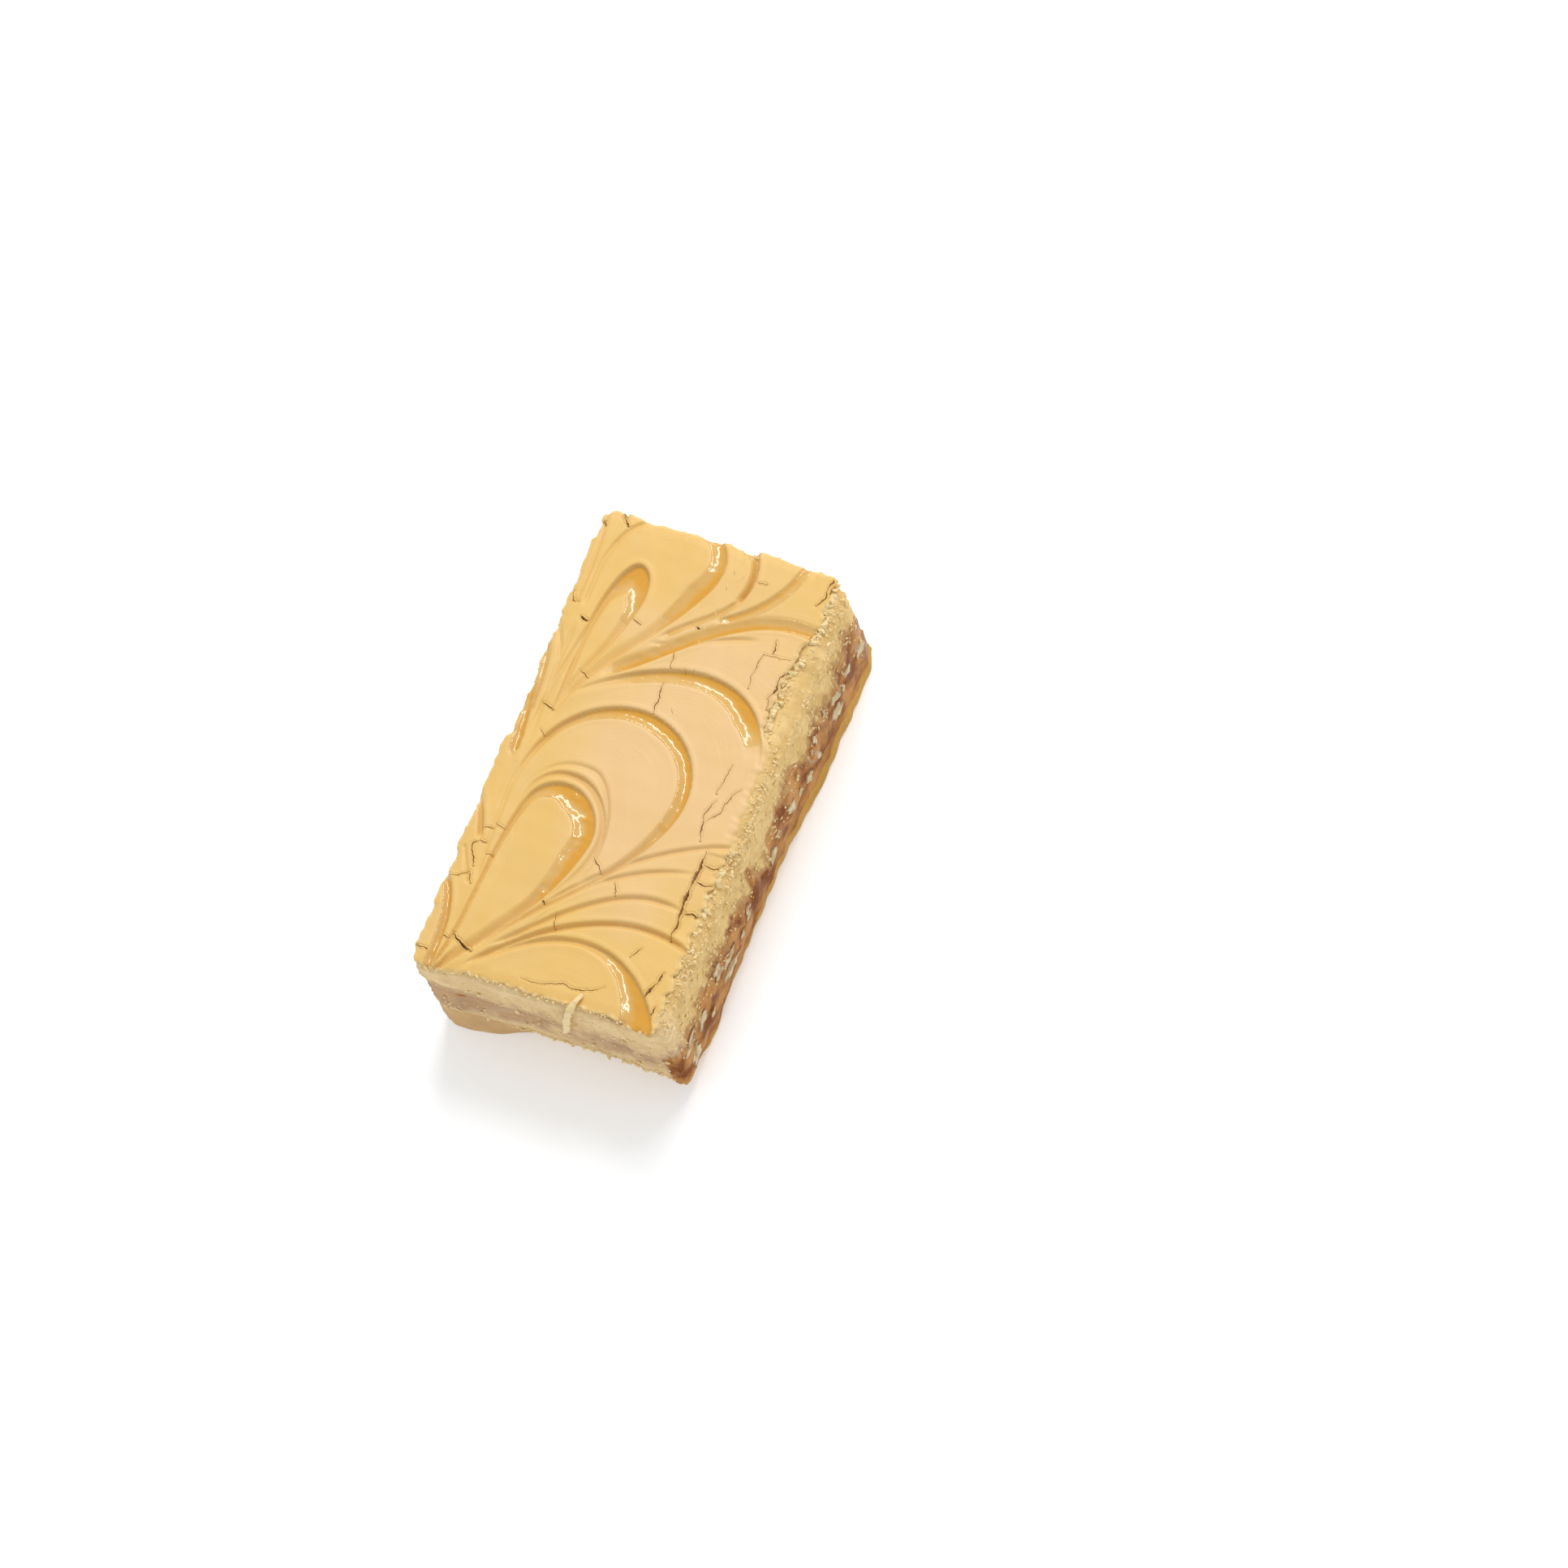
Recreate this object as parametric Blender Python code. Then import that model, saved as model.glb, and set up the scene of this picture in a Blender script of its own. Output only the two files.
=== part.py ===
"""A slice of penuche fudge: fudge with a swirled crust, caramel with pecans, and a base of fudge.

The slice lies flat on z = 0 with x across it, y along it and its middle at x = 0, y = 0.
Sizes in the tables and functions are millimetres, and solid() turns them into metres.
"""
import itertools

import bpy
import numpy as np

# Sizes of the whole slice and of its layers
WIDTH = 54.0
LENGTH = 103.0
HEIGHT = 31.5
CARAMEL_TOP = 17.5
BASE_TOP = 7.0
LAYER_GAP = 0.34

# How finely the surfaces are laid out before they are thinned to their triangle shares
STEP = 0.6
TOP_SHARE = 0.19
CARAMEL_SHARE = 0.2
BASE_SHARE = 0.16

# The layers meet along this inset from the outline, and their waves die out at the last one
SEAM_INSETS = (0.3, 2.0, 5.0)
SEAM_WAVES = (1.0, 0.6, 0.0)

# Petals of the swirl. Each runs from its root along one side, round its tip and back. Left and
# right are its half widths, belly is where it is widest, bend is its sideways curve, and tail is
# how thin it is towards the root. Slope and depth are the groove's inner bank and depth on the
# left, at the tip and on the right. Keep is the share of the depth left at the root on either
# side. Sunk is how far the petal lies below the crust outside it.
PETALS = (
    dict(root=(-24.9, -56.0), tip=(-9.2, -7.1), left=8.5, right=8.2, belly=0.84, bend=2.4, tail=1.7,
         slope=(0.9, 5.0, 4.4), depth=(0.8, 1.0, 1.0), keep=(1.0, 1.0), sunk=0.3),
    dict(root=(-17.0, -48.0), tip=(-9.5, -4.3), left=10.8, right=8.1, belly=0.78, bend=4.0, tail=2.89,
         slope=(0.8, 1.3, 1.2), depth=(0.1, 0.9, 0.7), keep=(0.0, 0.3), sunk=0.1),
    dict(root=(-17.0, -48.0), tip=(-7.4, -2.0), left=14.5, right=6.7, belly=0.68, bend=4.6, tail=1.06,
         slope=(0.8, 1.4, 1.2), depth=(0.0, 0.4, 0.5), keep=(0.0, 0.3), sunk=0.0),
    dict(root=(-17.0, -48.0), tip=(1.3, 11.8), left=15.6, right=17.6, belly=0.73, bend=-2.2, tail=1.48,
         slope=(1.5, 3.2, 4.2), depth=(0.9, 1.2, 1.2), keep=(0.0, 0.7), sunk=0.25),
    dict(root=(-27.2, -27.0), tip=(18.9, 18.4), left=23.4, right=23.7, belly=0.49, bend=1.6, tail=2.89,
         slope=(2.6, 4.6, 1.5), depth=(1.1, 1.2, 0.3), keep=(0.0, 0.0), sunk=0.2),
    dict(root=(-20.5, 5.0), tip=(-15.4, 42.0), left=2.6, right=4.6, belly=0.78, bend=-0.8, tail=2.12,
         slope=(1.0, 6.0, 3.0), depth=(1.0, 1.2, 1.0), keep=(0.6, 0.6), sunk=0.0),
    dict(root=(-20.5, 5.0), tip=(-4.6, 53.4), left=12.0, right=10.2, belly=0.79, bend=-2.9, tail=1.82,
         slope=(0.9, 2.6, 4.4), depth=(0.5, 0.8, 1.1), keep=(0.0, 0.7), sunk=0.15),
    dict(root=(-17.0, -49.0), tip=(24.6, -51.6), left=4.9, right=18.8, belly=0.64, bend=-8.5, tail=0.83,
         slope=(3.0, 6.0, 3.0), depth=(1.1, 1.4, 1.0), keep=(0.8, 0.0), sunk=0.2),
)

# Single strokes of the swirl, each a smooth curve through a few points. The steep side is on the
# left of the direction of travel, slope is the width of the easy side, and both ends taper off.
STROKES = (
    dict(through=((26, 37), (12, 36), (0, 28.3), (-15, 17)), slope=2.9, depth=1.2),
    dict(through=((-8, 27), (1, 29.5), (8, 32.3), (15, 34)), slope=1.2, depth=0.4),
    dict(through=((-6, 28), (0, 34), (5.5, 39), (7.6, 42.5)), slope=1.4, depth=0.5),
    dict(through=((4.2, 54), (7.2, 49.5), (8, 45.5), (6.4, 39.5)), slope=2.2, depth=1.6),
    dict(through=((3, 35), (8, 38), (14.5, 45), (16.8, 54)), slope=2.2, depth=0.7),
    dict(through=((-8, -34), (4, -21), (14, -14), (26, -9.3)), slope=1.8, depth=0.6),
    dict(through=((-10, -36), (3, -24), (12, -19), (22, -17)), slope=1.6, depth=0.6),
    dict(through=((-14, -44), (0, -31), (10, -25.4), (23.5, -26)), slope=1.8, depth=0.8),
    dict(through=((-18, -50), (-4, -37.3), (12, -31), (26, -32.9)), slope=1.6, depth=1.1),
    dict(through=((-24.2, -4), (-24.7, 6), (-25.6, 18), (-28.5, 25)), slope=1.4, depth=1.1),
    dict(through=((-23.3, -24), (-24.8, -19), (-27.6, -13)), slope=1.0, depth=0.9),
    dict(through=((-23.3, -53), (-23.6, -40), (-25, -35), (-29, -29)), slope=1.6, depth=1.1),
    dict(through=((-22.8, 2), (-22.3, 16), (-21, 24), (-20.4, 30)), slope=1.0, depth=0.4),
)
WALL_WIDTH = 0.8

# The crust is broken off along the right side: where it ends and how far the drop there is
BREAK_Y = (-52, -33, -31, -12, -10, 12, 16, 31, 36, 42, 52)
BREAK_X = (25.2, 25.0, 21.2, 21.0, 25.4, 25.0, 21.6, 21.9, 23.4, 24.6, 24.3)
BREAK_DROP = (0.7, 0.7, 1.2, 1.2, 0.3, 0.3, 1.3, 1.3, 1.2, 1.0, 1.2)

# Top edge of the caramel along the right side
CARAMEL_EDGE_Y = (-50, -42, -35, -30, -25, -17, -12, -10, -5, 2, 8, 15, 18, 25, 30, 37, 42, 50)
CARAMEL_EDGE_Z = (19, 15, 18, 20, 16, 21, 16, 21, 13, 20, 22, 20, 16, 20, 15, 20, 21, 18)

# Pecan pieces that show on the right side: place along y, height, and their size along y and z
PECANS_RIGHT = (
    (-45.5, 13.5, 5.0, 4.0), (-45.0, 8.0, 5.5, 4.0), (-39.5, 12.0, 4.0, 4.0),
    (-30.0, 15.0, 4.5, 4.5), (-25.5, 12.5, 5.0, 4.0), (-26.0, 8.8, 8.0, 3.6),
    (-15.0, 12.5, 3.6, 3.6), (-2.0, 11.5, 4.0, 3.4), (8.5, 13.0, 3.4, 4.0),
    (20.5, 12.5, 3.2, 6.5), (32.0, 9.5, 5.0, 3.6), (33.0, 14.0, 4.0, 3.0),
    (39.0, 14.0, 3.0, 3.4), (45.0, 12.0, 4.0, 5.5),
)
PECAN_HEIGHT = 0.55

# The random values sit on a grid turned by SKEW, so that no row of it lines up with a side
HASH = np.array([127.1, 311.7, 74.7])
SKEW = np.array([[0.36, 0.48, -0.8], [-0.8, 0.6, 0.0], [0.48, 0.64, 0.6]])


def noise(x, y, z, size, seed):
    """Smooth random values from -1 to 1 that change over about size mm."""
    cell = np.stack(np.broadcast_arrays(x, y, z), axis=-1) @ SKEW / size + seed * 7.31
    low = np.floor(cell)
    part = cell - low
    part = part * part * (3.0 - 2.0 * part)
    total = 0.0
    for corner in itertools.product((0, 1), repeat=3):
        corner = np.array(corner)
        share = np.prod(np.where(corner, part, 1.0 - part), axis=-1)
        total = total + share * np.modf(np.sin((low + corner) @ HASH) * 43758.5453)[0]
    return total


def ease(value):
    """Goes smoothly from 0 at 0 to 1 at 1, and stays there on either side."""
    value = np.clip(value, 0.0, 1.0)
    return value * value * (3.0 - 2.0 * value)


def bump(value, start, end, soft):
    """1 between start and end, fading to 0 over soft on either side."""
    return ease((value - start) / soft + 1.0) * ease((end - value) / soft + 1.0)


def between(value, places, heights):
    """Eased steps from one given height to the next at the given places."""
    number = np.clip(np.searchsorted(places, value) - 1, 0, len(places) - 2)
    places = np.array(places, float)
    heights = np.array(heights, float)
    share = ease((value - places[number]) / (places[number + 1] - places[number]))
    return heights[number] + share * (heights[number + 1] - heights[number])


def petal_line(petal):
    """Points along a petal's outline, with its groove's slope and depth at each."""
    turn = np.linspace(-1.0, 1.0, 241)
    along = 1.0 - turn ** 2
    belly = petal["belly"]
    tail = np.sin(np.pi / 2 * np.clip(along / belly, 0.0, 1.0)) ** petal["tail"]
    cap = np.sqrt(np.clip(1.0 - ((along - belly) / (1.0 - belly)) ** 2, 0.0, 1.0))
    half = np.where(turn < 0, -petal["left"], petal["right"])
    aside = half * np.where(along < belly, tail, cap) + petal["bend"] * 4 * along * (1 - along)
    root = np.array(petal["root"])
    reach = np.array(petal["tip"]) - root
    length = np.hypot(*reach)
    axis = reach / length
    across = np.array([axis[1], -axis[0]])
    points = root + np.outer(along * length, axis) + np.outer(aside, across)
    spots = (-0.7, -0.5, 0.0, 0.5, 0.7)
    left, tip, right = petal["slope"]
    slope = np.interp(turn, spots, (0.5 * left, left, tip, right, 0.5 * right))
    left, tip, right = petal["depth"]
    keep_left, keep_right = petal["keep"]
    depth = np.interp(turn, spots, (left * keep_left, left, tip, right, right * keep_right))
    return points, slope, depth * ease(along * 6.0)


def stroke_line(stroke):
    """Points along a stroke, on the one polynomial through its given points, with slope and depth."""
    through = np.array(stroke["through"], float)
    steps = np.hypot(*np.diff(through, axis=0).T)
    knots = np.concatenate([[0.0], np.cumsum(steps)]) / steps.sum()
    place = np.linspace(0.0, 1.0, 121)
    degree = len(through) - 1
    points = np.stack([np.polyval(np.polyfit(knots, side, degree), place) for side in through.T], 1)
    taper = ease(place * 6.0) * ease((1.0 - place) * 6.0)
    inside = np.abs(through[[0, -1], 0]) < WIDTH / 2 - 3
    if not inside[0]:
        taper[place < 0.5] = 1.0
    if not inside[1]:
        taper[place > 0.5] = 1.0
    return points, np.full(len(place), stroke["slope"]), stroke["depth"] * taper


def groove_drop(x, y, line):
    """How far a groove lowers the crust at each place, and each place's distance from its line."""
    points, slope, depth = line
    tangent = np.gradient(points, axis=0)
    spacing = np.hypot(*tangent.T)
    tangent /= spacing[:, None]
    gap_x = x[:, None] - points[:, 0]
    gap_y = y[:, None] - points[:, 1]
    nearest = np.argmin(gap_x ** 2 + gap_y ** 2, axis=1)
    pick = np.arange(len(x))
    gap_x = gap_x[pick, nearest]
    gap_y = gap_y[pick, nearest]
    outside = tangent[nearest, 0] * gap_y - tangent[nearest, 1] * gap_x
    forward = tangent[nearest, 0] * gap_x + tangent[nearest, 1] * gap_y
    beyond = np.maximum(np.abs(forward) - 0.6 * spacing[nearest], 0.0)
    distance = np.hypot(outside, beyond)
    width = np.where(outside > 0, WALL_WIDTH, slope[nearest])
    return depth[nearest] * (1.0 - ease(distance / width)), distance


def within(x, y, points):
    """Which places lie inside a closed line: a ray from them crosses it an odd number of times."""
    inside = np.zeros(len(x), bool)
    for (x1, y1), (x2, y2) in zip(points, np.roll(points, -1, axis=0)):
        if y1 == y2:
            continue
        crossed = (y1 > y) != (y2 > y)
        inside ^= crossed & (x < x1 + (y - y1) * (x2 - x1) / (y2 - y1))
    return inside


def crust_height(x, y):
    """Height of the swirled crust: the top of the slice less its grooves, breaks and edges."""
    drop = np.zeros(len(x))
    sunk = np.zeros(len(x))
    for petal in PETALS:
        line = petal_line(petal)
        groove, distance = groove_drop(x, y, line)
        drop = np.maximum(drop, groove)
        lower = np.where(within(x, y, line[0]), petal["sunk"] * ease(distance / 3.0), 0.0)
        sunk = np.maximum(sunk, lower)
    for stroke in STROKES:
        drop = np.maximum(drop, groove_drop(x, y, stroke_line(stroke))[0])
    edge = np.interp(y, BREAK_Y, BREAK_X) + 0.4 * noise(x, y, 0.0, 2.2, 3)
    step = np.interp(y, BREAK_Y, BREAK_DROP)
    shoulder = step * ease((x - edge) / 0.7) + 0.7 * ease((x - 24.8) / 2.4)
    blocks = bump(y, -31.0, -12.0, 1.0)
    crack = 0.6 * blocks * (1.0 - ease(np.abs(x - edge - 0.6) / 0.7))
    raised = 0.6 * blocks * ease((x - edge - 0.8) / 0.5) * (1.0 - ease(x - 25.0))
    rough = 0.12 * noise(x, y, 0.0, 7.0, 1) + 0.22 * noise(x, y, 0.0, 1.6, 2) * ease((x - edge) / 0.6)
    inward = np.minimum(WIDTH / 2 - np.abs(x), LENGTH / 2 - np.abs(y))
    rim = 0.9 * (1.0 - ease((inward + 0.4) / 1.5))
    return HEIGHT - 0.15 - drop - sunk - shoulder + raised - crack - rim + rough


def outline(across, along):
    """Where a point of the flat unit pattern lies: its sides wander and bulge a little."""
    y = along * LENGTH / 2
    x = across * WIDTH / 2
    left = -WIDTH / 2 - 0.7 * bump(y, -46.0, -4.0, 9.0) + 0.25 * noise(0.0, y, 5.0, 2.4, 5)
    right = WIDTH / 2 + 0.3 + 0.25 * noise(0.0, y, 5.0, 2.6, 6)
    near = -LENGTH / 2 + 0.3 + 0.35 * noise(x, 0.0, 5.0, 3.0, 7) + 0.5 * bump(x, -15.0, 12.0, 8.0)
    far = LENGTH / 2 + 0.1 + 0.4 * noise(x, 0.0, 5.0, 3.2, 8)
    share_x = (across + 1.0) / 2
    share_y = (along + 1.0) / 2
    return left + (right - left) * share_x, near + (far - near) * share_y


def outward(x, y):
    """Direction out of the nearest side, turning over the last few millimetres to a corner."""
    out_x = np.sign(x) * ease((np.abs(x) - WIDTH / 2 + 3.4) / 2.6)
    out_y = np.sign(y) * ease((np.abs(y) - LENGTH / 2 + 3.4) / 2.6)
    return out_x, out_y


def side_share(x, y):
    """How much a point belongs to the right side and to the near side."""
    right = ease((x - WIDTH / 2 + 3.4) / 2.6)
    near = ease((-y - LENGTH / 2 + 3.4) / 2.6) * (1.0 - right)
    return right, near


def caramel_top(x, y, wave):
    """Height of the seam above the caramel, wavy where the knife went through it."""
    right, near = side_share(x, y)
    hidden = 3.0 * noise(x, y, 1.0, 7.0, 11) + 1.2 * noise(x, y, 1.0, 3.0, 12)
    right_rise = between(y, CARAMEL_EDGE_Y, CARAMEL_EDGE_Z) - CARAMEL_TOP
    near_rise = 0.5 - 5.0 * x / WIDTH + 1.0 * noise(x, y, 1.0, 4.0, 13)
    rise = right * right_rise + near * near_rise + (1.0 - right - near) * hidden
    return CARAMEL_TOP + rise * wave


def caramel_bottom(x, y, wave):
    """Height of the seam under the caramel."""
    right, near = side_share(x, y)
    hidden = 1.4 * noise(x, y, 2.0, 9.0, 14) + 0.4 * noise(x, y, 2.0, 3.0, 15)
    right_rise = 0.2 + 2.4 * np.cos(2 * np.pi * (y - 4.0) / 90.0) + 0.4 * noise(x, y, 2.0, 3.0, 16)
    near_rise = 2.3 - 1.4 * x / WIDTH + 0.4 * noise(x, y, 2.0, 3.0, 17)
    rise = right * right_rise + near * near_rise + (1.0 - right - near) * hidden
    return BASE_TOP + rise * wave


def rim_points():
    """Points once round the outline, anticlockwise, on the unit pattern's four sides."""
    columns = int(round(WIDTH / STEP))
    rows = int(round(LENGTH / STEP))
    across = np.linspace(-1.0, 1.0, columns + 1)
    along = np.linspace(-1.0, 1.0, rows + 1)
    near = np.stack([across[:-1], np.full(columns, -1.0)], 1)
    right = np.stack([np.full(rows, 1.0), along[:-1]], 1)
    far = np.stack([across[:0:-1], np.full(columns, 1.0)], 1)
    left = np.stack([np.full(rows, -1.0), along[:0:-1]], 1)
    return np.concatenate([near, right, far, left]), columns, rows


def ring(rim, inset, height, rough):
    """One ring of points round the slice, set in from the outline and roughened outwards."""
    x, y = outline(rim[:, 0], rim[:, 1])
    out_x, out_y = outward(x, y)
    z = np.broadcast_to(height, x.shape)
    lumps = rough * (0.7 * noise(x, y, z, 2.6, 21) + 0.45 * noise(x, y, z, 1.2, 22))
    x = x * (1.0 - inset / (WIDTH / 2)) + out_x * lumps
    y = y * (1.0 - inset / (LENGTH / 2)) + out_y * lumps
    return np.stack([x, y, z], 1)


def seam_rings(rim, seam, side):
    """Rings of the face where two layers meet, from the outside in."""
    rings = []
    for inset, wave in zip(SEAM_INSETS, SEAM_WAVES):
        x, y = outline(rim[:, 0], rim[:, 1])
        rings.append(ring(rim, inset, seam(x, y, wave) + side * LAYER_GAP / 2, 0.0))
    return rings


def side_rings(rim, upper, lower, count, rough, inset_at):
    """Rings down a side between two heights, without the first and the last."""
    rings = []
    for number in range(1, count):
        share = number / count
        height = upper + (lower - upper) * share
        rings.append(ring(rim, inset_at(share), height, rough * np.sin(np.pi * share) ** 0.3))
    return rings


def bands(rings, first):
    """Quads between each ring and the next, where the rings' points are stored from first on."""
    size = len(rings[0])
    here = np.arange(size)
    after = np.roll(here, -1)
    faces = []
    for number in range(len(rings) - 1):
        upper = first + number * size
        lower = upper + size
        faces.extend(np.stack([upper + here, lower + here, lower + after, upper + after], 1).tolist())
    return faces


def solid(name, points, faces, colour, roughness, share):
    """A closed body of the given points in millimetres, thinned to a share of its triangles."""
    mesh = bpy.data.meshes.new(name)
    mesh.from_pydata((np.asarray(points) * 0.001).tolist(), [], faces)
    body = bpy.data.objects.new(name, mesh)
    bpy.context.collection.objects.link(body)
    material = bpy.data.materials.new(name)
    material.use_nodes = True
    shader = material.node_tree.nodes["Principled BSDF"]
    shader.inputs["Base Color"].default_value = (*colour, 1.0)
    shader.inputs["Roughness"].default_value = roughness
    mesh.materials.append(material)
    if share < 1.0:
        thin = body.modifiers.new("thin", "DECIMATE")
        thin.ratio = share
        thin.use_collapse_triangulate = True
    return body


def build_top_fudge():
    """The top layer: a fine swirled crust over sides that crumble, down to the wavy seam."""
    rim, columns, rows = rim_points()
    along, across = np.meshgrid(
        np.linspace(-1.0, 1.0, rows + 1), np.linspace(-1.0, 1.0, columns + 1), indexing="ij")
    x, y = outline(across.ravel(), along.ravel())
    crust = np.stack([x, y, crust_height(x, y)], 1)
    number = np.arange(len(crust)).reshape(rows + 1, columns + 1)
    faces = np.stack(
        [number[:-1, :-1], number[:-1, 1:], number[1:, 1:], number[1:, :-1]], -1).reshape(-1, 4).tolist()
    edge = np.concatenate([number[0, :-1], number[:-1, -1], number[-1, :0:-1], number[:0:-1, 0]])
    seam = seam_rings(rim, caramel_top, 1.0)
    sides = side_rings(rim, crust[edge, 2], seam[0][:, 2], 11, 0.35, lambda share: 0.1)
    rings = sides + seam
    first = len(crust)
    size = len(rim)
    here = np.arange(size)
    after = np.roll(here, -1)
    faces.extend(np.stack([edge, first + here, first + after, np.roll(edge, -1)], 1).tolist())
    faces.extend(bands(rings, first))
    faces.append((first + (len(rings) - 1) * size + here[::-1]).tolist())
    return solid("top_fudge", np.concatenate([crust, *rings]), faces, (0.80, 0.55, 0.27), 0.55, TOP_SHARE)


def pecan_lift(y, z, pecans):
    """How far pecan pieces stand out of the caramel at each place on a side."""
    lift = np.zeros(len(y))
    for place, height, wide, tall in pecans:
        reach = ((y - place) / (wide / 2)) ** 2 + ((z - height) / (tall / 2)) ** 2
        lift = np.maximum(lift, PECAN_HEIGHT * np.sqrt(np.clip(1.15 - reach, 0.0, 1.0)))
    return lift


def scattered_pecans(count, reach, seed):
    """Pecan pieces at random places along a side that is reach long either way."""
    random = np.random.default_rng(seed)
    places = np.linspace(-reach, reach, count) + random.uniform(-2.0, 2.0, count)
    heights = random.uniform(10.5, 14.5, count)
    wide = random.uniform(3.0, 5.5, count)
    tall = random.uniform(3.0, 4.5, count)
    return list(zip(places, heights, wide, tall))


def build_caramel_layer():
    """The middle layer: smooth caramel with pecan pieces standing out of its cut sides."""
    rim, columns, rows = rim_points()
    upper = seam_rings(rim, caramel_top, -1.0)
    lower = seam_rings(rim, caramel_bottom, 1.0)
    sides = side_rings(rim, upper[0][:, 2], lower[0][:, 2], 12, 0.12, lambda share: 0.15)
    left_pecans = scattered_pecans(15, 44.0, 31)
    far_pecans = scattered_pecans(7, 20.0, 32)
    for points in sides:
        out_x, out_y = outward(points[:, 0], points[:, 1])
        right = pecan_lift(points[:, 1], points[:, 2], PECANS_RIGHT)
        left = pecan_lift(points[:, 1], points[:, 2], left_pecans)
        far = pecan_lift(points[:, 0], points[:, 2], far_pecans)
        points[:, 0] += right * np.maximum(out_x, 0.0) - left * np.maximum(-out_x, 0.0)
        points[:, 1] += far * np.maximum(out_y, 0.0)
    rings = upper[::-1] + sides + lower
    size = len(rim)
    here = np.arange(size)
    faces = [here.tolist()]
    faces.extend(bands(rings, 0))
    faces.append(((len(rings) - 1) * size + here[::-1]).tolist())
    return solid("caramel_layer", np.concatenate(rings), faces, (0.30, 0.09, 0.03), 0.4, CARAMEL_SHARE)


def build_base_fudge():
    """The base: its near side is cut back under the slice, and its near right corner is broken."""
    rim, columns, rows = rim_points()
    x, y = outline(rim[:, 0], rim[:, 1])
    nearness = ease((-y - 34.0) / 17.0)
    rightness = ease((x - 13.0) / 13.0)
    cut_y = 3.6 * nearness * ease((x + 14.0) / 12.0)
    cut_x = 1.5 * rightness * bump(y, -28.0, 4.0, 14.0) + 2.2 * rightness * nearness
    upper = seam_rings(rim, caramel_bottom, -1.0)
    rings = upper[::-1]
    for share in (0.15, 0.35, 0.6, 0.9, 1.0):
        side = ring(rim, 0.2 + 0.5 * (share == 1.0), upper[0][:, 2] * (1.0 - share), 0.15 * (1.0 - share))
        side[:, 0] -= cut_x * share
        side[:, 1] += cut_y * share
        rings.append(side)
    size = len(rim)
    here = np.arange(size)
    faces = [here.tolist()]
    faces.extend(bands(rings, 0))
    faces.append(((len(rings) - 1) * size + here[::-1]).tolist())
    return solid("base_fudge", np.concatenate(rings), faces, (0.60, 0.38, 0.14), 0.6, BASE_SHARE)


for old in list(bpy.data.objects):
    bpy.data.objects.remove(old)
build_top_fudge()
build_caramel_layer()
build_base_fudge()
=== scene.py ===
"""A slice of penuche fudge with a swirled, caramel-glazed crust over caramel with pecans.

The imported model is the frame. Its three layers are dressed here: a fine crust with its swirl,
caramel lying in the grooves, crumbly cut sides, glossy caramel with pecan pieces, and crumbs.
Sizes in the tables and functions are millimetres, and surface() turns them into metres.
"""
import itertools

import bpy
import numpy as np
from mathutils import Matrix, Vector


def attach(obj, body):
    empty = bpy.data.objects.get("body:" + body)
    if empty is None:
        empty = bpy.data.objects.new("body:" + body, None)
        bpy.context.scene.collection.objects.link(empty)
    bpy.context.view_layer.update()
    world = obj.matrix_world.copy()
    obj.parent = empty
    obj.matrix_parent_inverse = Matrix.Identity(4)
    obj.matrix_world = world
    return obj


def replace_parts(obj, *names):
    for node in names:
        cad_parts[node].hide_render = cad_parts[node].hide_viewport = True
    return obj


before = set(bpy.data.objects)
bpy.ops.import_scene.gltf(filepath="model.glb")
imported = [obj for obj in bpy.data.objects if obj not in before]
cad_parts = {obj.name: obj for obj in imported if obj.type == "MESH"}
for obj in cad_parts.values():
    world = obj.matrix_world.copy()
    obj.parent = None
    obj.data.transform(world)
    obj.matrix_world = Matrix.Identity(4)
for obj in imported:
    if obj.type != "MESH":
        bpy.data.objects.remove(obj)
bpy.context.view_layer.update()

# Sizes of the slice and its layers, as in the part
WIDTH = 54.0
LENGTH = 103.0
HEIGHT = 31.5
CARAMEL_TOP = 17.5
BASE_TOP = 7.0
CRUST_THICKNESS = 1.6

# How many cells the surfaces have, and how far apart the points of lines and outlines are
CRUST_COLUMNS = 208
CRUST_ROWS = 396
RIM_STEP = 0.32
BASE_STEP = 0.6
SHOULDER_ROWS = 26
SIDE_ROWS = 42
CARAMEL_ROWS = 34
BASE_ROWS = 22
PECAN_ROWS = 13
PECAN_COLUMNS = 20
STRIP_ROWS = 60
STRIP_COLUMNS = 14
PETAL_POINTS = 241
STROKE_POINTS = 121
CRACK_STEP = 0.12

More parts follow.
